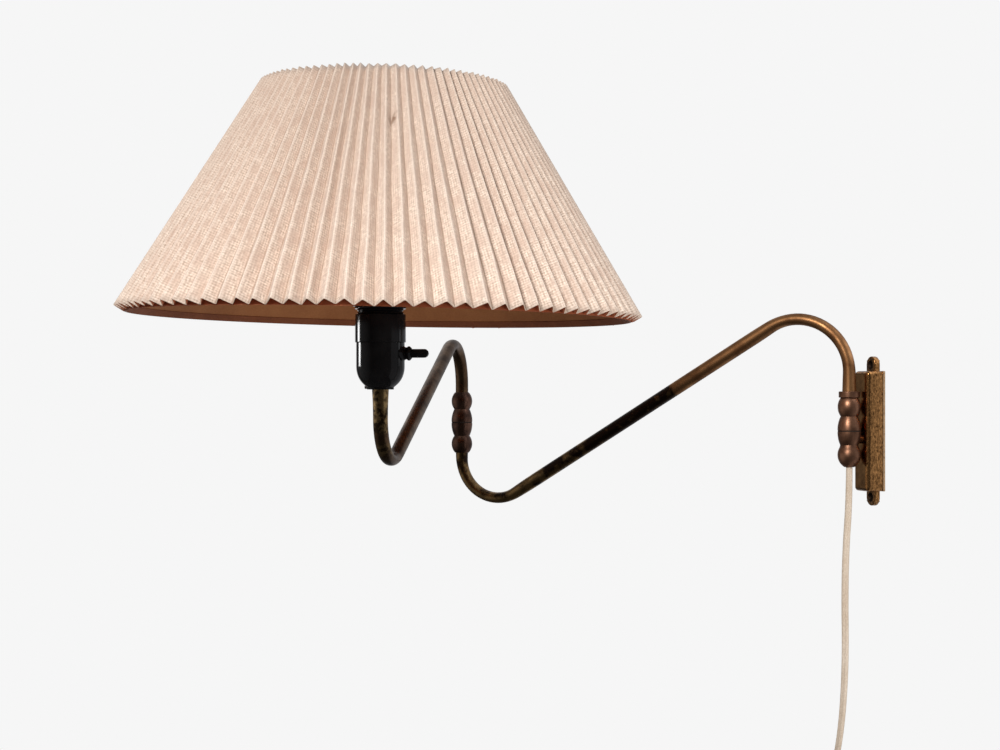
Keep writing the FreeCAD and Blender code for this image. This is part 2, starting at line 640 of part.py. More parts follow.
def pleated_sheet():
    """Pleated sheet of flat panels, and the lower and upper end of a valley on its inside.
    All folds are equally long and run to one apex, so both edges are zigzags. The inside has
    an apex of its own, set down along the axis, so that the sheet is equally thick all over."""
    folds = fold_directions()
    panel_normal = folds[0].cross(folds[1]).normalize()
    set_down = SHADE_SHEET / abs(panel_normal.z)
    along_fold = set_down * abs(folds[0].z)
    long_reach = SHADE_APEX / abs(folds[0].z)
    short_reach = (SHADE_APEX - SHADE_HEIGHT) / abs(folds[0].z)
    outer_apex = vec(0, 0, SHADE_APEX)
    inner_apex = vec(0, 0, SHADE_APEX - set_down)
    edges = [(outer_apex, long_reach), (outer_apex, short_reach),
             (inner_apex, short_reach - along_fold), (inner_apex, long_reach - along_fold)]
    rings = [[apex + fold * reach for fold in folds] for apex, reach in edges]
    faces = []
    for ring, following in zip(rings, rings[1:] + rings[:1]):
        for k in range(len(folds)):
            corners = [ring[k - 1], ring[k], following[k], following[k - 1], ring[k - 1]]
            faces.append(Part.Face(Part.makePolygon(corners)))
    _, _, inner_high, inner_low = rings
    return Part.Solid(Part.Shell(faces)), inner_low[1], inner_high[1]


def leaned(shape, degrees=0.0):
    """Copy of a shape of the shade, set on the fitter and leaned over about it."""
    copy = moved(shape, HOLDER + UP * RIM_Z, OUTER_HEADING + degrees)
    copy.rotate(HOLDER + UP * FITTER_Z, UP.cross(heading(SHADE_LEAN_HEADING)), SHADE_LEAN)
    return copy


def shade():
    sheet, valley_low, valley_high = pleated_sheet()
    valley_slope = SHADE_SLOPE * PLEAT_SHARE
    valley_radius = math.hypot(valley_low.x, valley_low.y)

    def room(height, depth):
        """Radius at a height, a depth inside the valleys."""
        return valley_radius - (height - valley_low.z) * valley_slope - depth * math.hypot(1, valley_slope)

    low = valley_low.z + LINING_TRIM
    high = valley_high.z - LINING_TRIM
    back = FIT_GAP + LINING_THICKNESS
    lining = turned((room(low, FIT_GAP), low), (room(high, FIT_GAP), high),
                    (room(high, back), high), (room(low, back), low))
    ring_z = SHADE_HEIGHT - TOP_RING_DOWN
    ring_radius = room(ring_z, back + FIT_GAP + TOP_RING_WIRE)
    ring = leaned(Part.makeTorus(ring_radius, TOP_RING_WIRE, vec(0, 0, ring_z)))

    below_fitter = moved(rod(FITTER_RADIUS + 2 * SPOKE_RADIUS, RIM_Z, RING_UPPER_Z), HOLDER)
    foot_place = Part.Vertex(FITTER_RADIUS - SPOKE_INSET, 0, RING_UPPER_Z)
    head_place = Part.Vertex(ring_radius, 0, ring_z)
    spokes = []
    for k in range(SPOKES):
        turn = 360 * k / SPOKES
        foot = moved(foot_place, HOLDER, OUTER_HEADING + turn).Point
        head = leaned(head_place, turn).Point
        way = (head - foot).normalize()
        start = foot - way * (2 * SPOKE_RADIUS)
        spoke = Part.makeCylinder(SPOKE_RADIUS, (head - start).Length, start, way)
        spokes.append(spoke.cut(below_fitter).cut(ring))
    nodes["pleated_shade"] = leaned(sheet)
    nodes["shade_lining"] = leaned(lining)
    nodes["shade_top_ring"] = ring
    nodes["shade_spokes"] = Part.Compound(spokes)


# Cord, its coil and its plug
def coil_point(turn):
    """Point of the coil's middle line. The turns spiral in and out, a layer each way,
    and climb to the next layer in the half turn where the spiral reverses."""
    per_layer = COIL_TURNS / COIL_LAYERS
    layer = min(int(turn / per_layer), COIL_LAYERS - 1)
    into = turn - layer * per_layer
    radius = COIL_OUTER - COIL_STEP * (into if layer % 2 == 0 else per_layer - into)
    depth = 0.0
    for k in range(1, COIL_LAYERS):
        climb = min(max((turn - k * per_layer) * 2 + 0.5, 0.0), 1.0)
        depth += COIL_STEP * climb * climb * (3 - 2 * climb)
    angle = math.pi + 2 * math.pi * turn
    return vec(COIL_X + radius * math.cos(angle), COIL_Y + depth, COIL_Z + radius * math.sin(angle))


def biarc(start, start_way, end, end_way):
    """Two tangent arcs from one point and direction to another."""
    across = end - start
    both = start_way + end_way
    bend = 2 * (1 - start_way.dot(end_way))
    along = across.dot(both)
    leg = (math.sqrt(along ** 2 + bend * across.dot(across)) - along) / bend
    first = start + start_way * leg
    last = end - end_way * leg
    join = (first + last) * 0.5
    return [arc_in_corner(start, first, join), arc_in_corner(join, last, end)]


def coil_path():
    """Wire of the coil: a straight lead in, a biarc for each quarter turn, a straight lead out."""
    down = vec(0, 0, -1)
    nudge = 0.001
    quarters = COIL_TURNS * ARCS_PER_TURN // 2
    turns = [k * COIL_TURNS / quarters for k in range(quarters + 1)]
    points = [coil_point(turn) for turn in turns]
    ways = [(coil_point(turn + nudge) - coil_point(turn - nudge)).normalize() for turn in turns[1:-1]]
    ways = [down, *ways, down]
    edges = [Part.LineSegment(points[0] - down * COIL_LEAD, points[0]).toShape()]
    for k in range(quarters):
        edges += biarc(points[k], ways[k], points[k + 1], ways[k + 1])
    edges.append(Part.LineSegment(points[-1], points[-1] + down * COIL_LEAD).toShape())
    return Part.Wire(edges)


def least_gap(path):
    """Smallest distance between the surfaces of two turns, measured on points along the wire.
    Points less than half a turn apart along the wire aren't compared."""
    per_arc = 8
    points = []
    for edge in path.OrderedEdges:
        points += edge.discretize(per_arc + 1)[:-1]
    half_turn = per_arc * ARCS_PER_TURN // 2
    return min((points[i] - points[j]).Length
               for i in range(len(points)) for j in range(i + half_turn, len(points))) - 2 * CORD_RADIUS


def cord():
    route, radii = rounded_path(CORD_ROUTE)
    drop = swept(route, CORD_RADIUS)
    coil = coil_path()
    coil_solid = swept(coil, CORD_RADIUS)
    section = math.pi * CORD_RADIUS ** 2
    print("cord_drop bend radii", [round(r) for r in radii])
    print("cord_drop volume over section times length", round(drop.Volume / (section * route.Length), 5))
    print("cord_coil volume over section times length", round(coil_solid.Volume / (section * coil.Length), 5))
    print("cord_coil least gap", round(least_gap(coil), 3))
    print("cord length", round(route.Length + coil.Length + TAIL_LENGTH))
    nodes["cord_drop"] = drop
    nodes["cord_coil"] = coil_solid
    nodes["cord_tail"] = moved(rod(CORD_RADIUS, PLUG_TOP, TAIL_TOP), vec(COIL_ENTRY_X, COIL_LAST_Y, 0))


def tie_and_plug():
    inside = vec(COIL_SPAN + 2 * CORD_RADIUS + 2 * TIE_GAP,
                 COIL_LAST_Y - COIL_Y + 2 * CORD_RADIUS + 2 * TIE_GAP, TIE_WIDTH)
    outside = inside + vec(2 * TIE_THICKNESS, 2 * TIE_THICKNESS, 0)
    middle = vec(COIL_X - COIL_RADIUS, (COIL_Y + COIL_LAST_Y) / 2, COIL_Z)
    band = block(outside, middle)
    band = band.makeFillet(CORD_RADIUS, [e for e in band.Edges if e.BoundBox.ZLength > TIE_WIDTH / 2])
    nodes["coil_tie"] = band.cut(block(inside, middle))

    plug_low = PLUG_TOP - RELIEF_HEIGHT - PLUG_HEIGHT
    relief = Part.makeCone(RELIEF_LOW_RADIUS, RELIEF_TOP_RADIUS, RELIEF_HEIGHT,
                           vec(0, 0, PLUG_TOP - RELIEF_HEIGHT))
    grip = block(vec(PLUG_WIDTH, PLUG_DEPTH, PLUG_HEIGHT), vec(0, 0, plug_low + PLUG_HEIGHT / 2))
    grip = grip.makeFillet(PLUG_EDGE_RADIUS, [e for e in grip.Edges if e.BoundBox.ZLength > PLUG_HEIGHT / 2])
    place = vec(COIL_ENTRY_X, COIL_LAST_Y, 0)
    nodes["plug_body"] = moved(grip.fuse(relief).removeSplitter(), place)
    pins = []
    for side in (1, -1):
        pin = Part.makeCylinder(PIN_RADIUS, PIN_LENGTH, vec(side * PIN_SPACING / 2, 0, plug_low - PIN_LENGTH))
        tip_edge = [e for e in pin.Edges if e.BoundBox.ZMax < plug_low - PIN_LENGTH / 2]
        pins.append(moved(pin.makeFillet(PIN_RADIUS / 2, tip_edge), place))
    nodes["plug_pins"] = Part.Compound(pins)


wall_joint(bracket())
elbow_joint()
arms()
lampholder()
shade()
cord()
tie_and_plug()

os.makedirs("parts", exist_ok=True)
for node, shape in nodes.items():
    solids = shape.Solids
    if not solids or not all(s.isValid() and s.Volume > 0 for s in solids):
        print("check", node, [(s.isValid(), round(s.Volume, 2)) for s in solids])
    shape.exportStep("parts/" + node + ".step")
print(len(nodes), "nodes")
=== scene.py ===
import bmesh
import bpy
import json
import random
from functools import partial
from math import asin, atan2, cos, hypot, pi, radians, sin, sqrt
from mathutils import Matrix, Vector
from mathutils.geometry import interpolate_bezier


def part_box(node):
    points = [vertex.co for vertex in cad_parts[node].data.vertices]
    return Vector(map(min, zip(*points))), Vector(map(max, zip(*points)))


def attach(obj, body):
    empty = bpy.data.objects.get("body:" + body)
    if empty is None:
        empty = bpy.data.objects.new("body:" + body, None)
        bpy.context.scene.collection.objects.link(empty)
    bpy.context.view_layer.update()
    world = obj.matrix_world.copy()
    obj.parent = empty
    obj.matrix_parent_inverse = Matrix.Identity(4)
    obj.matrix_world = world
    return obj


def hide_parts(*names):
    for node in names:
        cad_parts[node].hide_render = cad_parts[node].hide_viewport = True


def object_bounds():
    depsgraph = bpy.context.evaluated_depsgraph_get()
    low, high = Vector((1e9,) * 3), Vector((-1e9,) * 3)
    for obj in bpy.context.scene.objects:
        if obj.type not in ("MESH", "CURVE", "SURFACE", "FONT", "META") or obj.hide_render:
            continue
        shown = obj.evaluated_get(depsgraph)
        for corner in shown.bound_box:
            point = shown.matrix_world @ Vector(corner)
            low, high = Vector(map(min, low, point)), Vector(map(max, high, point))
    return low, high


# Looks of the articulated wall lamp, in metres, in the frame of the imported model.
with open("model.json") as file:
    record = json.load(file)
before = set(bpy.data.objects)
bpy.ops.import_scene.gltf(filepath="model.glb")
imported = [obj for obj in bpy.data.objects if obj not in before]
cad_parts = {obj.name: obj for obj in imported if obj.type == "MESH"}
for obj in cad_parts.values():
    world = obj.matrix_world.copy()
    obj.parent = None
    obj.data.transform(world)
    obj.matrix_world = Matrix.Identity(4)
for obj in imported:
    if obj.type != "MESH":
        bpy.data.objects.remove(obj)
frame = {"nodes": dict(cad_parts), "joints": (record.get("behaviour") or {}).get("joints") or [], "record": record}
cad_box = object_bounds()
scene = bpy.context.scene

MM = 0.001
TINY = 0.01 * MM
FLAT = 0.99  # of a normal, along an axis
SIDES = 64
SMALL_SIDES = 48
UP = Vector((0, 0, 1))
QUARTER = pi / 2
TURN = 2 * pi


def in_mm(*points):
    """(radius, height) points that are given in millimetres."""
    return [(radius * MM, height * MM) for radius, height in points]


# View of the photograph
PHOTO_WIDTH = 1000
PHOTO_HEIGHT = 750
FOCAL_PIXELS = 1800
HORIZON_ROW = 392
CAMERA_AT = Vector((1.4085, -0.819, 0.0345))
CAMERA_TURN = radians(71.7)
SENSOR = 36.0
TO_CAMERA = Vector((sin(CAMERA_TURN), -cos(CAMERA_TURN), 0))
TO_RIGHT = Vector((cos(CAMERA_TURN), sin(CAMERA_TURN), 0))

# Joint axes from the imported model
joints = {joint["name"]: joint for joint in frame["joints"]}
WALL_JOINT = Vector(joints["wall_swivel"]["pos_m"])
ELBOW = Vector(joints["elbow_swivel"]["pos_m"])
SWITCH = Vector(joints["switch_turn"]["pos_m"])
SWITCH_WAY = Vector(joints["switch_turn"]["axis"])
HOLDER = Vector((SWITCH.x, SWITCH.y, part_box("holder_cap")[0].z))

# Beaded joints, heights from the split
BEAD_RADIUS = 10.1 * MM
BEAD_HEIGHT = 16.5 * MM
BARREL_RADIUS = 10.2 * MM
BARREL_HALF = 13.0 * MM
BARREL_SIDE = (9.6 * MM, 7.0 * MM)  # a point on the barrel's outline
WAIST_RADIUS = 7.5 * MM
COLUMN_HALF = BARREL_HALF + BEAD_HEIGHT
LOWER_FACE = 0.4 * MM
UPPER_FACE = 0.7 * MM
WASHER_RADIUS = 9.9 * MM
WASHER_TOP = 0.67 * MM
PIVOT_BORE = 5.1 * MM
SOCKET_BORE = 6.6 * MM
SOCKET_FLOOR = 15.0 * MM
SOCKET_LIP = 0.2 * MM
COLLAR_RADIUS = 9.2 * MM
COLLAR_TOP = 35.0 * MM
COLLAR_EDGE = 0.6 * MM
LOWEST_BEAD = (10.2 * MM, -22.0 * MM)  # a point on the outline of the lowest bead
LOWER_END = 31.6 * MM  # where the lowest bead closes round the cord
LOWER_END_RADIUS = 4.4 * MM
GLAND_BORE = 4.1 * MM
GLAND_TOP = 18.0 * MM

# Arms, the sizes of each in millimetres
TUBE_RADIUS = 6.15 * MM
TUBE_SIDES = 32
BEND_WIDTH = 0.85  # of the tube's width, in the plane of a bend
PINCH_PASSES = 6  # that smooth the change from straight to bend
STRAIGHT_STEP = 6.0 * MM
BEND_STEP = radians(5)
INNER_HEADING = radians(-45.7)
INNER_ARM = dict(reach=388.5, start=20.9, end=-10.3, top=99.5, top_bend=48.0, low=-68.0, low_bend=39.0)
OUTER_HEADING = radians(60.1)
OUTER_ARM = dict(reach=300.0, start=25.6, end=36.5, top=79.6, top_bend=39.0, low=-22.0, low_bend=35.0)
FLARE_LENGTH = 22.0 * MM
COLLAR_FLARE = 0.4 * MM
HOLDER_FLARE = 0.75 * MM
GOLD_RUN = 238.7 * MM  # along the inner arm, where its bright stretch ends
STAIN_RUN = 364.0 * MM  # along the outer arm
OUTER_GOLD_RUN = 335.0 * MM

# Lampholder, heights above its lower end
CAP_NECK_RADIUS = 11.0 * MM
CAP_NECK = 2.0 * MM
CAP_RADIUS = 19.8 * MM
CAP_SHOULDER = 19.0 * MM
CAP_TOP = 38.4 * MM
CAP_WALL = 2.5 * MM
CAP_FLOOR = 4.0 * MM
CAP_BORE = 5.1 * MM
CAP_EDGE = 0.35 * MM
SHOULDER_HANDLE = (17.0 * MM, 6.0 * MM)
SHOULDER_RISE = 12.0 * MM
HOLLOW_HANDLE = (15.0 * MM, 7.0 * MM)
HOLLOW_FOOT = 9.0 * MM
SKIRT_RADIUS = 20.7 * MM
SKIRT_RING_TOP = 61.4 * MM
SKIRT_TOP = 85.0 * MM
SKIRT_BORE = 16.5 * MM
SKIRT_LEDGE = 40.4 * MM
SKIRT_LEDGE_BORE = 14.0 * MM
SKIRT_EDGE = 0.5 * MM
THREAD_CREST = 19.0 * MM
THREAD_ROOT = 18.1 * MM
THREAD_PITCH = 2.36 * MM
THREAD_SHAPE = ((THREAD_ROOT, 0.0), (THREAD_CREST, 0.35), (THREAD_CREST, 0.65), (THREAD_ROOT, 0.999))
FLANGE_RADIUS = 21.0 * MM
UPPER_RING_RADIUS = 20.6 * MM
RING_BORE = 19.1 * MM
RING_SIDES = 96
RING_EDGE = 0.4 * MM
SHELL_RADIUS = 13.7 * MM
SHELL_WAVE = 0.45 * MM
SHELL_WALL = 0.5 * MM
SHELL_LOW = 50.0 * MM
SHELL_TOP = 80.0 * MM
SHELL_PITCH = 3.63 * MM
SHELL_STEPS = 12  # for each turn of the thread
BUSH_FOOT = in_mm((3.75, 15.0), (7.0, 15.0))
BUSH_BOSS = in_mm((9.4, 17.2), (6.0, 19.5), (5.1, 20.4), (4.9, 22.2))
BUSH_RIM = in_mm((5.9, 23.6), (5.9, 24.6), (4.4, 26.2), (3.75, 26.2))
KEY_SEAT = 12.0 * MM
KEY_RADIUS = 3.6 * MM
KEY_TIP = 40.5 * MM
KEY_BLADE = 9.0 * MM
KEY_BLADE_HALF = 2.5 * MM
KEY_BLADE_RUN = 2.0 * MM  # from round to flat
KEY_ROUNDING = 0.55
KEY_EDGE = 0.25 * MM
SCREW_RADIUS = 1.5 * MM
SCREW_EDGE = 0.3 * MM
SCREW_BORE = 0.35 * MM
SCREW_END = 6.0 * MM
SCREW_SIDES = 24
AXIS_HOLE = 0.3 * MM  # left at the middle of turned ends

# Bracket
BODY_EDGE = 3.4 * MM
BODY_BACK_EDGE = 0.7 * MM
PLATE_EDGE = 0.7 * MM
LUG_RADIUS = 7.5 * MM
LUG_HOLE = 2.6 * MM
LUG_COUNTERSINK = 4.4 * MM
LUG_EDGE = 1.1 * MM
LUG_UP = 58.5 * MM
LUG_ROUND = 4.0 * MM  # above the hole's height, where the lug's end is eased

# Shade
PLEATS = 94
RIM_RADIUS = 214.0 * MM
TOP_RADIUS = 101.0 * MM
SHADE_HEIGHT = 185.0 * MM
SHADE_SLOPE = (RIM_RADIUS - TOP_RADIUS) / SHADE_HEIGHT
SHADE_APEX = RIM_RADIUS / SHADE_SLOPE
PLEAT_SHARE = 0.953
SHEET = 0.6 * MM
FIRST_RIDGE = radians(59.44)
PANEL_SHARES = (0.0, 0.1, 0.2, 0.32, 0.6, 0.93)  # columns of a panel, from its ridge
RIDGE_ROUNDING = 0.2
VALLEY_ROUNDING = 0.07
SHADE_ROWS = 34
FOLD_SEED = 7
FOLD_SWAY = 0.05  # spread of the folds' places, in panels
FOLD_FLARE = 0.0012
FOLD_END = 0.3 * MM
FOLD_WAVES = ((0.05, 9, 1), (0.03, 23, 2))  # (size in panels, rate, share of its phase)
PLEAT_DRIFT = (0.011, 7, 1.2)  # of the pleats' spacing: (angle, count, phase)
FITTER_UP = 67.9 * MM  # above the lampholder's lower end
RIM_UP = 63.5 * MM
SHADE_LEAN = radians(1.1)
SHADE_PLACE = (Matrix.Translation(HOLDER + UP * FITTER_UP)
               @ Matrix.Rotation(SHADE_LEAN, 4, -TO_CAMERA)
               @ Matrix.Translation(UP * (RIM_UP - FITTER_UP)))
LINING_LOW = -4.9 * MM  # from the ridges' lower ends
LINING_TOP = 182.2 * MM
LINING_THICKNESS = 0.8 * MM
LINING_GAP = 0.25 * MM
LINING_INSET = 0.9 * MM
LINING_SIDES = 192
HEM_HEIGHT = 5.2 * MM
HEM_THICKNESS = 0.5 * MM
HEM_LIP = 0.4 * MM
STAIN_AT = Vector((0.1061, -0.4729, 0.2470))
STAIN_SIZE = Vector((4.5, 4.5, 17.0)) * MM
WARP_THREADS = 9.0  # waves across a panel
WEFT_THREADS = 980.0  # waves in a metre of a fold

# Cord, its route and coil in millimetres
CORD_WIDTH = 6.2 * MM
CORD_LOBE = 2.0 * MM  # radius of each of the twin cord's halves
CORD_LOBE_OUT = CORD_WIDTH / 2 - CORD_LOBE
CORD_SIDES = 24
CORD_TURN = radians(80)
CORD_TWIST = radians(14)  # at each point of the hanging stretch
CORD_ROUTE = [
    (0, -29.2, -31), (0, -29.2, -60), (-3, -31.0, -105), (-4, -31.4, -150), (-3, -31.2, -195),
    (-6, -31.4, -238), (-12, -32.0, -274), (-25.5, -30.5, -302), (-25.5, -30.5, -324),
]
COIL_TURNS = 8
COIL_LAYERS = 4
COIL_STEP = 6.5
COIL_OUTER = 39.5
COIL_AT = (14.0, -30.5, -330.0)
COIL_POINTS = 16  # for each turn
TAIL_LEAD = 6.0
TAIL_LENGTH = 24.0

# Plug
PLUG_GRIP = 32.0 * MM
PLUG_EDGE = 0.9 * MM
PLUG_WAIST = 0.5 * PLUG_GRIP
PLUG_HANDLES = (0.8 * PLUG_GRIP, 0.95 * PLUG_GRIP)
PLUG_WIDENING = 0.45 * PLUG_GRIP
PLUG_CORNER = 0.6  # of its half depth, beyond which it is widened in full
PLUG_RIBS = 5
RIB_DEPTH = 0.8 * MM
RIB_SHAPE = ((0.0, 0.3 * MM), (0.0, 2.3 * MM), (-RIB_DEPTH, 2.6 * MM), (-RIB_DEPTH, 3.7 * MM))
RELIEF_LOW = 6.2 * MM
RELIEF_TOP = 4.2 * MM

# Set
LIT_POINT = Vector((-0.05, -0.35, 0.1))
GLINT_POINT = HOLDER + UP * 68 * MM
WALL_MIDDLE = (-0.3, 2 * MM, 0.1)
WALL_SIZE = (1.8, 1.4)
FLOOR_MIDDLE = Vector((0, -0.33, cad_box[0].z - 0.04))
FLOOR_RADIUS = 0.8
FLOOR_SIDES = 96
FLOOR_FADE = (0.5, 0.79)


# Node trees
def feed(socket, value):
    """Sets an input to a plain value, or links an output to it."""
    if isinstance(value, bpy.types.NodeSocket):
        socket.id_data.links.new(value, socket)
    else:
        socket.default_value = value


def set_up(made, values):
    """Gives a node its settings and named inputs."""
    for name, value in values.items():
        if hasattr(made, name):
            setattr(made, name, value)
        else:
            feed(made.inputs[name.replace("_", " ")], value)
    return made


def node(tree, kind, **values):
    return set_up(tree.nodes.new("ShaderNode" + kind), values)


def join(*sockets):
    """Links each pair of (output, input) sockets."""
    for source, target in zip(sockets[::2], sockets[1::2]):
        feed(target, source)


def tree_of(first, second):
    """Node tree of two values, of which the first may be a plain number."""
    return (second if isinstance(first, float) else first).id_data


def effect_group(name, **inputs):
    """New node group that gives a colour, a roughness and a height."""
    tree = bpy.data.node_groups.new(name, "ShaderNodeTree")
    for label, default in inputs.items():
        kind = "NodeSocketColor" if isinstance(default, tuple) else "NodeSocketFloat"
        socket = tree.interface.new_socket(label.replace("_", " "), in_out="INPUT", socket_type=kind)
        socket.default_value = default
    for label, kind in (("Color", "Color"), ("Roughness", "Float"), ("Height", "Float")):
        tree.interface.new_socket(label, in_out="OUTPUT", socket_type="NodeSocket" + kind)
    return tree, tree.nodes.new("NodeGroupInput").outputs, tree.nodes.new("NodeGroupOutput").inputs


def rgb(red, green, blue):
    return (red, green, blue, 1.0)


def blank_material(name, **sockets):
    """New material with its Principled BSDF's plain values set."""
    made = bpy.data.materials.new(name)
    made.use_nodes = True
    tree = made.node_tree
    return made, tree, set_up(tree.nodes["Principled BSDF"], sockets)


def math_node(operation, first, second=0.0):
    made = node(tree_of(first, second), "Math", operation=operation)
    feed(made.inputs[0], first)
    feed(made.inputs[1], second)
    return made.outputs[0]


plus, minus, times = (partial(math_node, operation) for operation in ("ADD", "SUBTRACT", "MULTIPLY"))


def mixed(share, first, second, blend="MIX"):
    """Mix of two colours by a share."""
    made = node(tree_of(share, first), "Mix", data_type="RGBA", blend_type=blend)
    for k, value in ((0, share), (6, first), (7, second)):
        feed(made.inputs[k], value)
    return made.outputs[2]


def ranged(value, low, high, to_low=0.0, to_high=1.0):
    made = node(value.id_data, "MapRange", Value=value, From_Min=low, From_Max=high,
                To_Min=to_low, To_Max=to_high)
    return made.outputs[0]


def noise(vector, scale, detail=3.0, roughness=0.55):
    made = node(vector.id_data, "TexNoise", Vector=vector, Scale=scale, Detail=detail,
                Roughness=roughness)
    return made.outputs["Fac"]


def object_place(tree):
    return node(tree, "TexCoord").outputs["Object"]


def bump(height, surface, strength, distance):
    made = node(height.id_data, "Bump", Height=height, Strength=strength, Distance=distance)
    join(made.outputs[0], surface.inputs["Normal"])


def dress(surface, effect, dent, depth):
    """Joins an effect's colour, roughness and height to a surface."""
    join(effect.outputs["Color"], surface.inputs["Base Color"],
         effect.outputs["Roughness"], surface.inputs["Roughness"])
    bump(effect.outputs["Height"], surface, dent, depth)


# Effects that several finishes share
TARNISH_DULLS = 0.15  # roughness that full tarnish adds


def patina_effect():
    """Old brass: patches of wear and specks. Streak below 1 draws the patches out upward."""
    tree, given, result = effect_group(
        "patina", Metal=rgb(0.5, 0.3, 0.1), Tarnish=rgb(0.05, 0.03, 0.02), Patch_Scale=40.0, Wear=0.5,
        Speck_Scale=900.0, Speck=0.3, Polish=0.3, Streak=1.0, Contrast=3.5)
    place = object_place(tree)
    upright = node(tree, "CombineXYZ", X=1.0, Y=1.0, Z=given["Streak"])
    drawn = node(tree, "VectorMath", operation="MULTIPLY", Vector=place)
    join(upright.outputs[0], drawn.inputs[1])
    patches = noise(drawn.outputs[0], given["Patch Scale"], 5.0, 0.62)
    specks = noise(place, given["Speck Scale"], 3.0, 0.6)
    shifted = plus(patches, minus(given["Wear"], 1.0))
    wear_and_highlight = ranged(times(shifted, given["Contrast"]), -0.5, 0.5)
    dotted = times(ranged(specks, 0.42, 0.62), given["Speck"])
    share = times(wear_and_highlight, minus(1.0, dotted))
    dulled = plus(given["Polish"], TARNISH_DULLS)
    join(mixed(share, given["Tarnish"], given["Metal"]), result["Color"],
         minus(dulled, times(share, TARNISH_DULLS)), result["Roughness"],
         plus(times(specks, 0.5), patches), result["Height"])
    return tree


def grain_effect():
    """Fine moulded grain with a faint dusting: a shade of the colour, roughness and height."""
    tree, given, result = effect_group(
        "grain", Color=rgb(0.5, 0.5, 0.5), Scale=400.0, Dust=0.1, Rough=0.4)
    place = object_place(tree)
    fine = noise(place, given["Scale"], 4.0, 0.6)
    broad = noise(place, 35.0, 4.0)
    tint = times(ranged(broad, 0.35, 0.7), given["Dust"])
    paler = mixed(0.5, given["Color"], rgb(1, 0.96, 0.9), "SCREEN")
    lift = times(minus(fine, 0.5), 0.15)
    join(mixed(tint, given["Color"], paler), result["Color"],
         plus(given["Rough"], plus(tint, lift)), result["Roughness"],
         fine, result["Height"])
    return tree


PATINA = patina_effect()
GRAIN = grain_effect()


def brass(name, metal, tarnish, dent=0.1, **look):
    """Old metal; look holds the patina's inputs that differ from its own values."""
    made, tree, surface = blank_material(name, Metallic=1.0)
    effect = node(tree, "Group", node_tree=PATINA, Metal=metal, Tarnish=tarnish, **look)
    dress(surface, effect, dent, 0.3 * MM)
    return made


def moulded(name, tint, scale, dust_and_shade, rough, dent=0.05, **sockets):
    made, tree, surface = blank_material(name, **sockets)
    effect = node(tree, "Group", node_tree=GRAIN, Color=tint, Scale=scale, Dust=dust_and_shade, Rough=rough)
    dress(surface, effect, dent, 0.2 * MM)
    return made


def linen(name):
    """Woven face of the shade. Its UV map counts panels along the strip and metres down the folds."""
    made, tree, surface = blank_material(name, Roughness=0.85, Specular_IOR_Level=0.25,
                                         Sheen_Weight=0.15)
    strip = node(tree, "UVMap", uv_map="strip").outputs["UV"]
    place = node(tree, "SeparateXYZ", Vector=strip)
    panels = place.outputs["X"]
    down = place.outputs["Y"]

    def stretched_noise(per_panel, per_metre, detail):
        sized = node(tree, "Mapping", Vector=strip, Scale=(per_panel, per_metre, 1.0))
        return noise(sized.outputs["Vector"], 1.0, detail, 0.6)

    def thread_wave(run, count, drift):
        turn = times(run, pi * count)
        wander = times(stretched_noise(*drift, 2.0), 4.0)
        return math_node("SINE", plus(turn, wander))

    slubs = plus(stretched_noise(2.6, 800.0, 1.0), stretched_noise(7.0, 330.0, 1.0))
    mottle = stretched_noise(1.0, 70.0, 4.0)
    weave = plus(thread_wave(panels, WARP_THREADS, (0.6, 90.0)),
                 thread_wave(down, WEFT_THREADS, (1.1, 40.0)))
    threads = plus(times(weave, 0.08), times(slubs, 0.58))
    woven = mixed(ranged(threads, 0.36, 0.80), rgb(0.52, 0.385, 0.295), rgb(0.97, 0.80, 0.67))
    aged = mixed(ranged(mottle, 0.42, 0.60, 0.0, 0.6), woven, rgb(0.63, 0.455, 0.36))

    # Painted highlight on the ridges, painted shade on every other panel and in the valleys, and a darker top
    from_ridge = math_node("PINGPONG", panels, 1.0)
    # Painted highlight: the ridges are lightened
    wear_and_highlight = mixed(ranged(from_ridge, 0.0, 0.25, 0.5, 0.0), aged, rgb(0.96, 0.81, 0.69))
    # Painted shade: every other panel and the valleys are darkened
    panel = math_node("MODULO", math_node("FLOOR", panels), 2.0)
    dust_and_shade = plus(ranged(panel, 0.0, 1.0, 0.09, 0.0), ranged(from_ridge, 0.86, 0.98, 0.0, 0.6))
    panel_and_valley_shaded = mixed(dust_and_shade, wear_and_highlight, rgb(0.36, 0.24, 0.17))
    # The top is darker
    graded = mixed(ranged(down, 0.0, 0.2, 0.3, 0.0), panel_and_valley_shaded, rgb(0.30, 0.22, 0.17))

    spot = node(tree, "Mapping", vector_type="TEXTURE", Vector=object_place(tree), Location=STAIN_AT,
                Scale=STAIN_SIZE).outputs["Vector"]
    off = node(tree, "VectorMath", operation="LENGTH", Vector=spot).outputs["Value"]
    blot = times(ranged(off, 0.5, 1.0, 1.0, 0.0), ranged(noise(spot, 2.2), 0.42, 0.52, 0.0, 0.9))
    join(mixed(blot, graded, rgb(0.20, 0.10, 0.05)), surface.inputs["Base Color"])
    bump(threads, surface, 0.3, 0.3 * MM)
    return made


def board(name, deep, pale, rough=0.75):
    """Cloudy two-tone finish of the shade's lining, backing and cut edges and of the cord."""
    made, tree, surface = blank_material(name, Roughness=rough, Specular_IOR_Level=0.3)
    place = object_place(tree)
    fibres = noise(place, 900.0, 4.0)
    cloudy = noise(place, 45.0)
    tone = plus(times(fibres, 0.6), times(cloudy, 0.4))
    join(mixed(ranged(tone, 0.35, 0.65), deep, pale), surface.inputs["Base Color"])
    bump(fibres, surface, 0.15, 0.2 * MM)
    return made


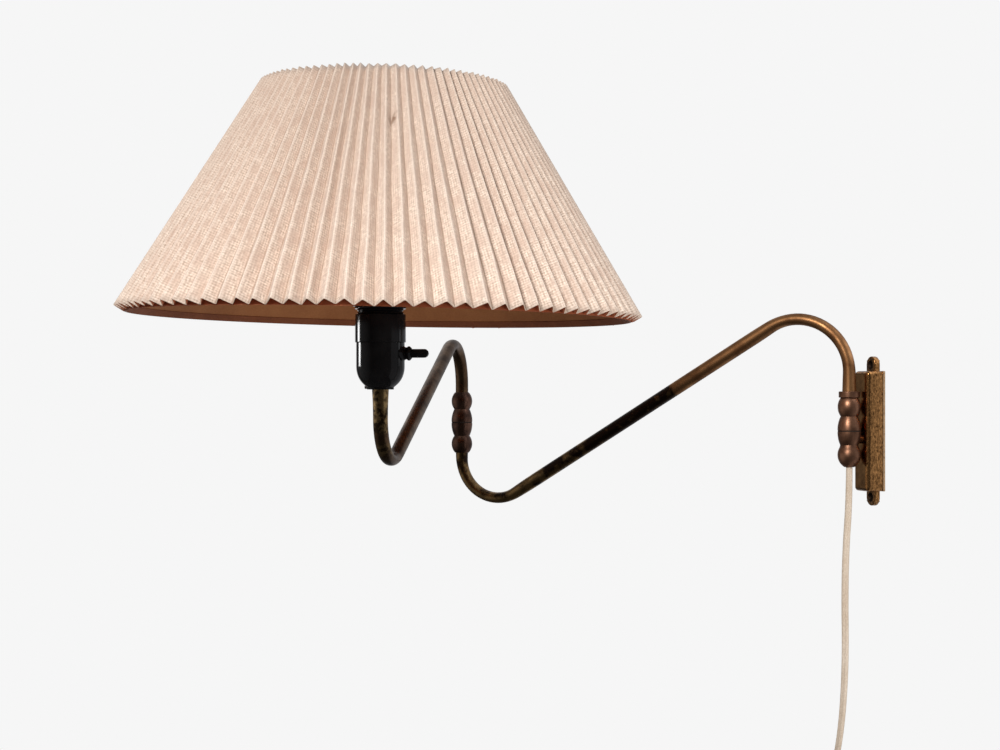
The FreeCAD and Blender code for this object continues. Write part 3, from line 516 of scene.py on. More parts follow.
# Finishes of the arms' stretches
GOLDEN = dict(Metal=rgb(0.38, 0.19, 0.08), Tarnish=rgb(0.19, 0.085, 0.035),
              Patch_Scale=45.0, Wear=0.52, Polish=0.4, Contrast=5.0)
DARK = dict(Metal=rgb(0.34, 0.205, 0.085), Tarnish=rgb(0.03, 0.017, 0.011),
            Patch_Scale=75.0, Polish=0.26, Contrast=5.0)
GREY_BROWN = dict(Metal=rgb(0.185, 0.11, 0.06), Tarnish=rgb(0.05, 0.027, 0.015),
                  Patch_Scale=50.0, Polish=0.26)
OLIVE = dict(Metal=rgb(0.42, 0.28, 0.125), Tarnish=rgb(0.04, 0.024, 0.012),
             Patch_Scale=110.0, Contrast=7.0)


def arm_brass(name, first, second, share, wear=None):
    """Tube finish in two stretches: share(run) is how much of the second there is."""
    made, tree, surface = blank_material(name, Metallic=1.0)
    run = node(tree, "Attribute", attribute_name="run").outputs["Fac"]
    ragged = ranged(noise(object_place(tree), 260.0), 0.3, 0.7, -1.5 * MM, 1.5 * MM)
    stretches = [node(tree, "Group", node_tree=PATINA, Speck_Scale=1500.0, Speck=0.35, **look)
                 for look in (first, second)]
    part = share(plus(run, ragged))
    if wear:
        join(wear(run), stretches[1].inputs["Wear"])
    for effect, target in (("Color", "Base Color"), ("Roughness", "Roughness")):
        join(mixed(part, *(s.outputs[effect] for s in stretches)), surface.inputs[target])
    bump(stretches[0].outputs["Height"], surface, 0.08, 0.3 * MM)
    return made


def inner_share(run):
    """Dark brass beyond the bright stretch."""
    return ranged(run, GOLD_RUN, GOLD_RUN + 3 * MM)


def inner_wear(run):
    """The dark brass has more wear toward the elbow."""
    return ranged(run, GOLD_RUN + 40 * MM, GOLD_RUN + 200 * MM, 0.34, 0.53)


def outer_share(run):
    """Olive brass below the lampholder, with one dark stain across it."""
    olive = ranged(run, OUTER_GOLD_RUN, OUTER_GOLD_RUN + 25 * MM)
    off = math_node("ABSOLUTE", minus(run, STAIN_RUN))
    return times(olive, ranged(off, 4 * MM, 7 * MM))


LINEN = linen("shade_linen")
BACKING = board("shade_backing", rgb(0.40, 0.105, 0.042), rgb(0.50, 0.16, 0.07))
LINING = board("shade_lining", rgb(0.26, 0.094, 0.03), rgb(0.35, 0.135, 0.047))
HEM = board("shade_hem", rgb(0.155, 0.043, 0.015), rgb(0.22, 0.068, 0.025))
CUT_EDGE = board("shade_cut_edge", rgb(0.70, 0.50, 0.36), rgb(0.86, 0.68, 0.53))
CORD_SHEATH = board("cord_sheath", rgb(0.52, 0.40, 0.29), rgb(0.73, 0.62, 0.51), rough=0.4)
INNER_ARM_BRASS = arm_brass("inner_arm_brass", GOLDEN, DARK, inner_share, inner_wear)
OUTER_ARM_BRASS = arm_brass("outer_arm_brass", GREY_BROWN, OLIVE, outer_share)
# Darker copy of the bead brass for the elbow knuckles: painted shade for their place under the lampshade
SHADED_ELBOW_BRASS = brass("shaded_elbow_brass", rgb(0.21, 0.11, 0.075), rgb(0.05, 0.028, 0.022),
                    Patch_Scale=70.0, Speck_Scale=1600.0, Speck=0.35, Polish=0.25)
GRIMY_BRASS = brass("grimy_brass", rgb(0.10, 0.055, 0.03), rgb(0.025, 0.015, 0.01),
                    Patch_Scale=200.0, Wear=0.4, Speck=0.5, Polish=0.45)
BEAD_BRASS = brass("bead_brass", rgb(0.36, 0.178, 0.105), rgb(0.12, 0.057, 0.034),
                   Patch_Scale=60.0, Speck_Scale=1600.0, Polish=0.34)
BRACKET_BRASS = brass("bracket_brass", rgb(0.60, 0.295, 0.105), rgb(0.08, 0.035, 0.012), dent=0.35,
                      Patch_Scale=800.0, Wear=0.49, Speck_Scale=1500.0, Polish=0.16, Streak=0.5,
                      Contrast=3.2)
POLISHED_BRASS = brass("polished_brass", rgb(0.56, 0.28, 0.10), rgb(0.26, 0.12, 0.04), dent=0.03,
                       Patch_Scale=150.0, Wear=0.55, Polish=0.07)
PLATE_BRASS = brass("plate_brass", rgb(0.72, 0.46, 0.25), rgb(0.36, 0.21, 0.11),
                    Patch_Scale=300.0, Wear=0.6, Speck=0.4)

FINISH_OF_SLOT = dict(
    bracket_brass=BRACKET_BRASS, aged_brass=BEAD_BRASS, shade_linen=LINEN, shade_board=LINING,
    cord_sheath=CORD_SHEATH,
    machined_brass=brass("turned_brass", rgb(0.75, 0.55, 0.26), rgb(0.42, 0.27, 0.11),
                         Patch_Scale=80.0, Wear=0.65, Speck_Scale=1500.0, Speck=0.2),
    steel=brass("screw_steel", rgb(0.62, 0.61, 0.59), rgb(0.28, 0.26, 0.24),
                Patch_Scale=200.0, Wear=0.6, Speck_Scale=2500.0, Speck=0.2),
    bakelite=moulded("black_bakelite", rgb(0.004, 0.0035, 0.004), scale=900.0, dust_and_shade=0.015, rough=0.1,
                     dent=0.02, Specular_IOR_Level=0.15),
    porcelain=moulded("porcelain", rgb(0.80, 0.77, 0.72), scale=500.0, dust_and_shade=0.06, rough=0.15, dent=0.02),
    fibre=moulded("washer_fibre", rgb(0.02, 0.012, 0.009), scale=1800.0, dust_and_shade=0.02, rough=0.7,
                  dent=0.2, Specular_IOR_Level=0.1),
    frame_wire=moulded("black_lacquer", rgb(0.018, 0.016, 0.014), scale=700.0, dust_and_shade=0.05, rough=0.3),
    plug_plastic=moulded("plug_plastic", rgb(0.72, 0.63, 0.51), scale=900.0, dust_and_shade=0.12, rough=0.35))
FINISH_OF_NODE = {"bracket_stud": BEAD_BRASS}


def finish_cad_nodes():
    """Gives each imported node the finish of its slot."""
    for part in frame["record"]["subparts"]:
        mesh = frame["nodes"][part["node"]].data
        mesh.materials.clear()
        mesh.materials.append(FINISH_OF_NODE.get(part["node"], FINISH_OF_SLOT[part["material_slot"]]))


# Meshes
def put(name, data):
    """New object of some data, in the scene."""
    made = bpy.data.objects.new(name, data)
    scene.collection.objects.link(made)
    return made


def aimed(name, data, place, way):
    """New object at a place, looking along a way."""
    made = put(name, data)
    made.location = place
    made.rotation_mode = "QUATERNION"
    made.rotation_quaternion = way.to_track_quat("-Z", "Y")
    return made


def mesh_from(bm, name):
    mesh = bpy.data.meshes.new(name)
    bm.to_mesh(mesh)
    bm.free()
    return mesh


def finished(bm, name, body, slot, *stands_for, materials=None, crease=32, weigh=True):
    """Object from a bmesh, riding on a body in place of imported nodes."""
    bmesh.ops.remove_doubles(bm, verts=bm.verts, dist=0.001 * MM)
    bmesh.ops.recalc_face_normals(bm, faces=bm.faces)
    mesh = mesh_from(bm, name)
    mesh.shade_smooth()
    mesh.set_sharp_from_angle(angle=radians(crease))
    for material in materials or [FINISH_OF_SLOT[slot]]:
        mesh.materials.append(material)
    piece = put(name, mesh)
    if weigh:  # keeps large faces flat beside rounded edges
        piece.modifiers.new("flat_faces", "WEIGHTED_NORMAL").keep_sharp = True
    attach(piece, body)
    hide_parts(*stands_for)
    return piece


def arc(start, middle, end, steps=14):
    """Points after start along the circle through three (radius, height) points."""
    first, second, third = (Vector(p) for p in (start, middle, end))
    chord = second - first
    other = third - first
    double = 2 * (chord.x * other.y - chord.y * other.x)
    centre = first + Vector((other.y * chord.length_squared - chord.y * other.length_squared,
                             chord.x * other.length_squared - other.x * chord.length_squared)) / double
    first, second, third = first - centre, second - centre, third - centre
    sweep = first.angle_signed(second) + second.angle_signed(third)
    points = []
    for k in range(1, steps + 1):
        spoke = first.copy()
        spoke.rotate(Matrix.Rotation(-sweep * k / steps, 2))
        points.append(tuple(centre + spoke))
    return points


def curve(start, start_handle, end_handle, end, steps=10):
    """Points after start along a Bezier curve of (radius, height) points."""
    corners = (Vector((*p, 0)) for p in (start, start_handle, end_handle, end))
    return [(point.x, point.y) for point in interpolate_bezier(*corners, steps + 1)[1:]]


def moved(bm, place):
    bmesh.ops.transform(bm, matrix=place, verts=bm.verts)
    return bm


def lathe(outline, place=Matrix(), sides=SIDES):
    """Bmesh of a closed outline of (radius, height) points turned about Z, then placed."""
    bm = bmesh.new()
    verts = [bm.verts.new((radius, 0, height)) for radius, height in outline]
    edges = [bm.edges.new(pair) for pair in zip(verts, verts[1:] + verts[:1])]
    bmesh.ops.spin(bm, geom=verts + edges, cent=(0, 0, 0), axis=(0, 0, 1), angle=TURN, steps=sides,
                   use_merge=True)
    return moved(bm, place)


def ring_outline(bore, radius, low, high):
    return [(bore, low), (radius, low), (radius, high), (bore, high)]


def ease_edges(bm, offset, segments=2, chosen=None):
    """Rounds a bmesh's sharp edges, or the chosen ones."""
    bmesh.ops.recalc_face_normals(bm, faces=bm.faces)
    sharp = radians(35)
    edges = [edge for edge in bm.edges if len(edge.link_faces) == 2
             and edge.calc_face_angle() > sharp and (chosen is None or chosen(edge))]
    bmesh.ops.bevel(bm, geom=edges, offset=offset, offset_type="OFFSET", segments=segments, profile=0.5,
                    affect="EDGES", material=-1, clamp_overlap=True)
    return bm


def bar(low, high):
    """Bmesh of a straight bar between two corners."""
    bm = bmesh.new()
    bmesh.ops.create_cube(bm, size=1.0, matrix=Matrix.Translation((low + high) / 2)
                          @ Matrix.Diagonal((*(high - low), 1.0)))
    return bm


def clamped(value, low=0.0, high=1.0):
    return min(max(value, low), high)


# Bracket
def bracket():
    low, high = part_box("bracket_body")
    body = bar(low, high)
    front = low.y + MM
    back = high.y - MM
    ease_edges(body, BODY_EDGE, 6, lambda e: any(v.co.y < front for v in e.verts))
    ease_edges(body, BODY_BACK_EDGE, 2, lambda e: all(v.co.y > back for v in e.verts))
    for face in body.faces:
        face.material_index = int(face.normal.y < -FLAT)
    finished(body, "bracket_bar", "root", "bracket_brass", "bracket_body",
             materials=[BRACKET_BRASS, POLISHED_BRASS])
    plate = ease_edges(bar(*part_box("back_plate")), PLATE_EDGE)
    finished(plate, "bracket_plate", "root", "bracket_brass", "back_plate", materials=[PLATE_BRASS])

    # The strap is a lug turned round its hole, drawn out to the middle and mirrored
    low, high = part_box("mounting_strap")
    outline = [(LUG_HOLE, high.y), (LUG_RADIUS, high.y), (LUG_RADIUS, low.y), (LUG_COUNTERSINK, low.y),
               (LUG_HOLE, low.y + LUG_COUNTERSINK - LUG_HOLE)]
    strap = lathe(outline, Matrix.Rotation(-QUARTER, 4, "X"), SMALL_SIDES)
    for vert in strap.verts:
        if hypot(vert.co.x, vert.co.z) > LUG_RADIUS - TINY and vert.co.z < 0:
            along = min(LUG_RADIUS / max(abs(vert.co.x), 1e-9), LUG_UP / abs(vert.co.z))
            vert.co.x *= along
            vert.co.z *= along
    moved(strap, Matrix.Translation(UP * LUG_UP))
    whole = strap.verts[:] + strap.edges[:] + strap.faces[:]
    bmesh.ops.mirror(strap, geom=whole, axis="Z", merge_dist=TINY)
    inner_faces = [face for face in strap.faces if all(abs(v.co.z) < TINY for v in face.verts)]
    bmesh.ops.delete(strap, geom=inner_faces, context="FACES")
    ease_edges(strap, LUG_EDGE, 3, lambda e: all(
        abs(v.co.x) > LUG_RADIUS - MM or abs(v.co.z) > LUG_UP + LUG_ROUND for v in e.verts))
    for face in strap.faces:
        middle = face.calc_center_median()
        sunk = hypot(middle.x, abs(middle.z) - LUG_UP) < LUG_COUNTERSINK
        face.material_index = int(sunk)
    finished(strap, "screw_strap", "root", "bracket_brass", "mounting_strap",
             materials=[BRACKET_BRASS, GRIMY_BRASS])


# Beaded joints and arms
def knuckle_outline(end_radius):
    """Outline of an upper knuckle above the split of its joint; its end closes to a radius."""
    waist = (WAIST_RADIUS, BARREL_HALF)
    split = (BARREL_RADIUS, UPPER_FACE)
    bead_side = (BEAD_RADIUS, (BARREL_HALF + COLUMN_HALF) / 2)
    return [(PIVOT_BORE, UPPER_FACE), split, *arc(split, BARREL_SIDE, waist),
            *arc(waist, bead_side, (end_radius, COLUMN_HALF)),
            (SOCKET_BORE, COLUMN_HALF), (SOCKET_BORE, SOCKET_FLOOR), (PIVOT_BORE, SOCKET_FLOOR)]


def facing_down(outline):
    """Outline of the lower knuckle that faces an upper one across their washer."""
    return [(radius, -max(height - UPPER_FACE + LOWER_FACE, LOWER_FACE)
             if height < BARREL_HALF / 2 else -height) for radius, height in outline]


def joints_and_arms():
    at_wall = Matrix.Translation(WALL_JOINT)
    at_elbow = Matrix.Translation(ELBOW)
    below_collar = knuckle_outline(WAIST_RADIUS)
    on_tube = knuckle_outline(SOCKET_BORE + SOCKET_LIP)
    down_to_waist = [point for point in facing_down(below_collar) if point[1] > -BARREL_HALF - TINY]
    wall_lower = [*down_to_waist[:-1],
                  *arc((WAIST_RADIUS, -BARREL_HALF), LOWEST_BEAD, (LOWER_END_RADIUS, -LOWER_END)),
                  (GLAND_BORE, -LOWER_END), (GLAND_BORE, -GLAND_TOP), (PIVOT_BORE, -GLAND_TOP)]
    for outline, place, name, body, material in (
            (wall_lower, at_wall, "wall_lower", "root", BEAD_BRASS),
            (below_collar, at_wall, "wall_upper", "inner_arm", BEAD_BRASS),
            (facing_down(on_tube), at_elbow, "elbow_lower", "inner_arm", SHADED_ELBOW_BRASS),
            (on_tube, at_elbow, "elbow_upper", "outer_arm", SHADED_ELBOW_BRASS)):
        finished(lathe(outline, place), name + "_bead", body, "aged_brass", name + "_knuckle",
                 materials=[material])

    collar = lathe(ring_outline(SOCKET_BORE, COLLAR_RADIUS, COLUMN_HALF, COLLAR_TOP), at_wall)
    ease_edges(collar, COLLAR_EDGE, 3)
    finished(collar, "wall_collar_ring", "inner_arm", "aged_brass", "wall_collar")
    washer = ring_outline(PIVOT_BORE, WASHER_RADIUS, -LOWER_FACE, WASHER_TOP)
    finished(lathe(washer, at_wall), "wall_washer_disc", "root", "fibre", "wall_washer")
    finished(lathe(washer, at_elbow), "elbow_washer_disc", "inner_arm", "fibre", "elbow_washer")
    inner = arm(WALL_JOINT, INNER_HEADING, INNER_ARM, start_flare=COLLAR_FLARE)
    outer = arm(ELBOW, OUTER_HEADING, OUTER_ARM, end_flare=HOLDER_FLARE)
    for name, tube, material in (("inner", inner, INNER_ARM_BRASS), ("outer", outer, OUTER_ARM_BRASS)):
        finished(tube, name + "_tube", name + "_arm", "aged_brass", name + "_arm_tube",
                 materials=[material])


def arm_stations(reach, start, end, top, top_bend, low, low_bend):
    """Stations (out, height, direction, bend) of an arm's middle line."""
    over = Vector((top_bend, top - top_bend))
    under = Vector((reach - low_bend, low + low_bend))
    apart = under - over
    fall = atan2(apart.y, apart.x) - asin((top_bend + low_bend) / apart.length)

    def straight(first, last, direction):
        count = max(2, round((last - first).length / STRAIGHT_STEP))
        return [(*first.lerp(last, k / count), direction, 0.0) for k in range(count)]

    def bend(centre, radius, first, last, side):
        count = round(abs(last - first) / BEND_STEP)
        angles = [first + (last - first) * k / count for k in range(count)]
        return [(centre.x + radius * cos(a), centre.y + radius * sin(a), a + side, 1.0)
                for a in angles]

    leave = fall + QUARTER
    meet = fall - QUARTER
    from_top = over + Vector((cos(leave), sin(leave))) * top_bend
    to_low = under + Vector((cos(meet), sin(meet))) * low_bend
    return (straight(Vector((0, start)), Vector((0, over.y)), QUARTER)
            + bend(over, top_bend, pi, leave, -QUARTER)
            + straight(from_top, to_low, fall)
            + bend(under, low_bend, meet, 0.0, QUARTER)
            + straight(Vector((reach, under.y)), Vector((reach, end)), QUARTER)
            + [(reach, end, QUARTER, 0.0)])


def arm(base, heading, sizes, start_flare=0.0, end_flare=0.0):
    """Bmesh of a bent tube that is pinched in its bends; its layer "run" is the length along it."""
    way = Vector((sin(heading), -cos(heading), 0))
    across = way.cross(UP)
    stations = arm_stations(**{name: value * MM for name, value in sizes.items()})
    pinch = [station[3] for station in stations]
    for _ in range(PINCH_PASSES):
        pinch = [(pinch[max(k - 1, 0)] + 2 * p + pinch[min(k + 1, len(pinch) - 1)]) / 4
                 for k, p in enumerate(pinch)]
    runs = [0.0]
    for before, after in zip(stations, stations[1:]):
        runs.append(runs[-1] + hypot(after[0] - before[0], after[1] - before[1]))

    places = []
    for (out, height, direction, _), squeeze, run in zip(stations, pinch, runs):
        forward = way * cos(direction) + UP * sin(direction)
        radius = TUBE_RADIUS
        radius += start_flare * max(0.0, 1 - run / FLARE_LENGTH) ** 2
        radius += end_flare * max(0.0, 1 - (runs[-1] - run) / FLARE_LENGTH) ** 2
        narrow = radius * (1 - (1 - BEND_WIDTH) * squeeze)
        centre = Vector((base.x, base.y, 0)) + way * out + UP * height
        axes = Matrix((across * radius, across.cross(forward) * narrow, forward)).transposed()
        places.append(Matrix.Translation(centre) @ axes.to_4x4())

    bm = bmesh.new()
    run_layer = bm.verts.layers.float.new("run")
    bmesh.ops.create_circle(bm, cap_ends=True, segments=TUBE_SIDES, radius=1.0, matrix=places[0])
    ring = bm.edges[:]
    for k in range(1, len(places)):
        grown = bmesh.ops.extrude_edge_only(bm, edges=ring)["geom"]
        verts = [item for item in grown if isinstance(item, bmesh.types.BMVert)]
        ring = [item for item in grown if isinstance(item, bmesh.types.BMEdge) and item.is_boundary]
        bmesh.ops.transform(bm, matrix=places[k] @ places[k - 1].inverted(), verts=verts)
        for vert in verts:
            vert[run_layer] = runs[k]
    bmesh.ops.contextual_create(bm, geom=ring)
    return bm


# Lampholder
def lampholder():
    place = Matrix.Translation(HOLDER)
    inside = CAP_RADIUS - CAP_WALL
    shoulder = curve((CAP_NECK_RADIUS, CAP_NECK), SHOULDER_HANDLE, (CAP_RADIUS, SHOULDER_RISE),
                     (CAP_RADIUS, CAP_SHOULDER), 14)
    hollow = curve((inside, CAP_SHOULDER), (inside, SHOULDER_RISE), HOLLOW_HANDLE,
                   (HOLLOW_FOOT, CAP_FLOOR), 8)
    cap = lathe([(CAP_BORE, 0), (CAP_NECK_RADIUS, 0), (CAP_NECK_RADIUS, CAP_NECK), *shoulder,
                 (CAP_RADIUS, CAP_TOP), (inside, CAP_TOP), (inside, CAP_SHOULDER), *hollow,
                 (CAP_BORE, CAP_FLOOR)], place)
    finished(ease_edges(cap, CAP_EDGE), "bakelite_cap", "outer_arm", "bakelite", "holder_cap")

    turns = round((SKIRT_TOP - SKIRT_RING_TOP) / THREAD_PITCH)
    thread = [(radius, SKIRT_RING_TOP + (k + share) * THREAD_PITCH)
              for k in range(turns) for radius, share in THREAD_SHAPE]
    skirt = lathe([(SKIRT_LEDGE_BORE, CAP_TOP), (SKIRT_RADIUS, CAP_TOP), (SKIRT_RADIUS, SKIRT_RING_TOP),
                   *thread, (SKIRT_BORE, SKIRT_TOP), (SKIRT_BORE, SKIRT_LEDGE),
                   (SKIRT_LEDGE_BORE, SKIRT_LEDGE)], place)
    ring_edge = SKIRT_RADIUS - 0.1 * MM
    ease_edges(skirt, SKIRT_EDGE, 3, lambda e: all(
        hypot(v.co.x - HOLDER.x, v.co.y - HOLDER.y) > ring_edge for v in e.verts))
    finished(skirt, "bakelite_skirt", "outer_arm", "bakelite", "holder_skirt")

    for name, stands_for, radius in (("shade_flange", "shade_ring_lower", FLANGE_RADIUS),
                                     ("shade_nut", "shade_ring_upper", UPPER_RING_RADIUS)):
        low, high = (corner.z - HOLDER.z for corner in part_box(stands_for))
        ring = lathe(ring_outline(RING_BORE, radius, low, high), place, RING_SIDES)
        finished(ease_edges(ring, RING_EDGE), name, "outer_arm", "bakelite", stands_for)

    height = SHELL_TOP - SHELL_LOW
    count = round(height / SHELL_PITCH * SHELL_STEPS)
    shell = [(SHELL_RADIUS + SHELL_WAVE * sin(TURN * k / SHELL_STEPS), SHELL_LOW + height * k / count)
             for k in range(count + 1)]
    shell += [(radius + SHELL_WALL, up) for radius, up in reversed(shell)]
    finished(lathe(shell, place), "lamp_thread", "outer_arm", "machined_brass", "socket_shell")

    switch_turn = SWITCH_WAY.to_track_quat("Z", "Y").to_matrix().to_4x4()
    sideways = Matrix.Translation(SWITCH) @ switch_turn
    bush = lathe([*BUSH_FOOT, BUSH_BOSS[0], *curve(*BUSH_BOSS, 8), *BUSH_RIM], sideways, SMALL_SIDES)
    finished(ease_edges(bush, KEY_EDGE), "switch_bush", "outer_arm", "bakelite", "switch_bushing")
    end = KEY_TIP - KEY_RADIUS
    rounding = KEY_ROUNDING * KEY_RADIUS
    key = lathe([(AXIS_HOLE, KEY_SEAT), (KEY_RADIUS, KEY_SEAT), (KEY_RADIUS, end),
                 *curve((KEY_RADIUS, end), (KEY_RADIUS, end + rounding), (rounding, KEY_TIP),
                        (AXIS_HOLE, KEY_TIP))], sides=SMALL_SIDES)
    for vert in key.verts:
        share = clamped((vert.co.z - KEY_TIP + KEY_BLADE) / KEY_BLADE_RUN)
        vert.co.x += (clamped(vert.co.x, -KEY_BLADE_HALF, KEY_BLADE_HALF) - vert.co.x) * share
    moved(key, sideways)
    finished(ease_edges(key, KEY_EDGE), "turn_key", "switch_key", "bakelite", "switch_key")

    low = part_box("holder_set_screw")[0]
    reach = hypot(low.x - HOLDER.x, low.y - HOLDER.y)
    screw = lathe([(SCREW_BORE, -reach), (SCREW_RADIUS - SCREW_EDGE, -reach),
                   (SCREW_RADIUS, SCREW_EDGE - reach), (SCREW_RADIUS, -SCREW_END),
                   (SCREW_BORE, -SCREW_END)],
                  Matrix.Translation(HOLDER + UP * CAP_NECK) @ switch_turn, SCREW_SIDES)
    finished(screw, "lock_screw", "outer_arm", "steel", "holder_set_screw")


# Shade
def pleated_shade():
    low_reach = hypot(RIM_RADIUS, SHADE_APEX)
    high_reach = hypot(TOP_RADIUS, TOP_RADIUS / SHADE_SLOPE)
    draw = random.Random(FOLD_SEED)
    folds = 2 * PLEATS
    sways = [draw.gauss(0, FOLD_SWAY) for _ in range(folds)]
    flares = [draw.gauss(0, FOLD_FLARE) for _ in range(folds)]
    ends = [draw.gauss(0, FOLD_END) for _ in range(folds)]
    wavers = [draw.uniform(0, TURN) for _ in range(folds)]
    drift, drift_count, drift_phase = PLEAT_DRIFT

    def fold_point(k, along):
        """Point of a fold, from 0 at its top to 1 at the rim. Even folds are ridges."""
        fold = k % folds
        share = PLEAT_SHARE if k % 2 else 1.0
        flare = SHADE_SLOPE * (share + flares[fold])
        sway = sways[fold]
        for size, rate, phase in FOLD_WAVES:
            sway += size * sin(rate * along + phase * wavers[fold])
        even = pi * (k + sway) / PLEATS
        angle = FIRST_RIDGE + even + drift * sin(drift_count * even + drift_phase)
        way = Vector((flare * cos(angle), flare * sin(angle), -1)).normalized()
        reach = high_reach + (low_reach - high_reach) * along
        return UP * SHADE_APEX + way * (reach + ends[fold] * (2 * along - 1))

    per_panel = len(PANEL_SHARES)
    columns = per_panel * folds
    bm = bmesh.new()
    bmesh.ops.create_grid(bm, x_segments=columns, y_segments=SHADE_ROWS, size=0.5)
    strip = bm.loops.layers.uv.new("strip")
    grid = {vert: (round((vert.co.x + 0.5) * columns), 0.5 - vert.co.y) for vert in bm.verts}

    def eased(fold, point, share, along, length):
        """Point moved inside a fold's corner, if it is nearer to it than a length."""
        if share >= length:
            return point
        before, corner, after = (fold_point(fold + k, along) for k in (-1, 0, 1))
        across = (before + after) / 2 - corner
        return point + across * (length - share) ** 2 / (2 * length)

    def placed(column, along):
        """Point of the sheet at a column, and how many panels along the strip that is."""
        k, step = divmod(column, per_panel)
        ridge, valley = (k, k + 1) if k % 2 == 0 else (k + 1, k)
        share = PANEL_SHARES[step]
        if k % 2:
            share = PANEL_SHARES[per_panel - step] if step else 1.0
        point = fold_point(ridge, along).lerp(fold_point(valley, along), share)
        point = eased(ridge, point, share, along, RIDGE_ROUNDING)
        point = eased(valley, point, 1 - share, along, VALLEY_ROUNDING)
        return point, k + (share if k % 2 == 0 else 1 - share)

    panels = {}
    for vert, (column, along) in grid.items():
        vert.co, panels[vert] = placed(column, along)
    for face in bm.faces:
        for loop in face.loops:
            loop[strip].uv = (panels[loop.vert], grid[loop.vert][1] * (low_reach - high_reach))
    halfway = [placed(column, 0.5)[0] for column in range(columns + 1)]
    shade = finished(moved(bm, SHADE_PLACE), "linen_shade", "outer_arm", "shade_linen", "pleated_shade",
                     materials=[LINEN, BACKING, CUT_EDGE], crease=180, weigh=False)
    thicken = shade.modifiers.new("sheet", "SOLIDIFY")
    thicken.thickness = SHEET
    thicken.offset = -1.0
    thicken.material_offset = 1
    thicken.material_offset_rim = 2


def shade_inside():
    valley = SHADE_SLOPE * PLEAT_SHARE
    across = hypot(1, valley)
    set_in = (SHEET + LINING_GAP) * across + LINING_INSET

    def room(height, depth):
        """(radius, height) at a depth inside the valleys."""
        return (SHADE_APEX - height) * valley - set_in - depth * across, height

    hem = LINING_LOW + HEM_HEIGHT
    hem_end = hem + HEM_LIP
    thick = LINING_THICKNESS + HEM_THICKNESS
    lining = lathe([room(LINING_LOW, 0), room(LINING_TOP, 0), room(LINING_TOP, LINING_THICKNESS),
                    room(hem_end, LINING_THICKNESS), room(hem, thick), room(LINING_LOW, thick)],
                   sides=LINING_SIDES)
    bmesh.ops.recalc_face_normals(lining, faces=lining.faces)
    for face in lining.faces:
        middle = face.calc_center_median()
        outward = face.normal.dot(Vector((middle.x, middle.y, 0))) > 0
        face.material_index = 1 if outward else 2 if middle.z < hem_end else 0
    finished(moved(lining, SHADE_PLACE), "shade_lining_cone", "outer_arm", "shade_board", "shade_lining",
             materials=[LINING, BACKING, HEM])


# Cord
def smooth(share):
    return share * share * (3 - 2 * share)


def coil_point(turn):
    """Point of the put-away coil, in millimetres; it climbs a layer where it turns from in to out."""
    per_layer = COIL_TURNS / COIL_LAYERS
    layer = min(int(turn / per_layer), COIL_LAYERS - 1)
    into = turn - layer * per_layer
    radius = COIL_OUTER - COIL_STEP * (into if layer % 2 == 0 else per_layer - into)
    depth = 0.0
    for k in range(1, COIL_LAYERS):
        depth += COIL_STEP * smooth(clamped((turn - k * per_layer) * 2 + 0.5))
    angle = pi + TURN * turn
    x, y, z = COIL_AT
    return (x + radius * cos(angle), y + depth, z + radius * sin(angle))


def twin_profile():
    """Section of the twin cord: two round halves side by side with a groove between them."""
    profile = bpy.data.curves.new("twin_profile", "CURVE")
    profile.dimensions = "2D"
    spline = profile.splines.new("POLY")
    spline.points.add(CORD_SIDES - 1)
    for k, point in enumerate(spline.points):
        turn = TURN * k / CORD_SIDES
        reach = CORD_LOBE_OUT * abs(cos(turn))
        reach += sqrt(CORD_LOBE ** 2 - (CORD_LOBE_OUT * sin(turn)) ** 2)
        point.co = (reach * cos(turn), reach * sin(turn), 0, 1)
    spline.use_cyclic_u = True
    return bpy.data.objects.new("twin_profile", profile)


def cord():
    points = list(CORD_ROUTE)
    points += [coil_point(k / COIL_POINTS) for k in range(COIL_TURNS * COIL_POINTS + 1)]
    x, y, z = points[-1]
    points += [(x, y, z - TAIL_LEAD), (x, y, z - TAIL_LEAD - TAIL_LENGTH)]
    line = bpy.data.curves.new("cord", "CURVE")
    line.dimensions = "3D"
    spline = line.splines.new("NURBS")
    spline.points.add(len(points) - 1)
    for k, control in enumerate(spline.points):
        control.co = (*(Vector(points[k]) * MM), 1.0)
        control.tilt = CORD_TURN + CORD_TWIST * min(k, len(CORD_ROUTE))
    spline.order_u = 3
    spline.use_endpoint_u = True
    spline.resolution_u = 6
    line.bevel_mode = "OBJECT"
    line.bevel_object = twin_profile()
    line.use_fill_caps = True
    line.materials.append(CORD_SHEATH)
    piece = put("cord", line)
    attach(piece, "root")
    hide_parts("cord_drop", "cord_coil", "cord_tail")
    plug()


def plug():
    """Two-pin plug: a ribbed relief that widens into a grip with rounded ends."""
    low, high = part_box("plug_body")
    middle = (low + high) / 2
    half_depth = (high.y - low.y) / 2
    widen = (high.x - low.x) / 2 - half_depth
    top = high.z - low.z
    relief = []
    for k in range(PLUG_RIBS):
        height = PLUG_GRIP + (top - PLUG_GRIP) * k / PLUG_RIBS
        radius = RELIEF_LOW + (RELIEF_TOP - RELIEF_LOW) * k / PLUG_RIBS
        relief += [(radius + out, height + up) for out, up in RIB_SHAPE]
    waist = (half_depth, PLUG_WAIST)
    handles = ((half_depth, height) for height in PLUG_HANDLES)
    outline = [(AXIS_HOLE, 0), (half_depth - PLUG_EDGE, 0), (half_depth, PLUG_EDGE), waist,
               *curve(waist, *handles, (RELIEF_LOW, PLUG_GRIP)), *relief,
               (RELIEF_TOP - RIB_DEPTH, top), (AXIS_HOLE, top)]
    body = lathe(outline)
    for vert in body.verts:
        share = smooth(clamped((PLUG_GRIP - vert.co.z) / PLUG_WIDENING))
        vert.co.x += widen * share * clamped(vert.co.x / (PLUG_CORNER * half_depth), -1.0)
    moved(body, Matrix.Translation((middle.x, middle.y, low.z)))
    return finished(body, "plug_grip", "root", "plug_plastic", "plug_body")


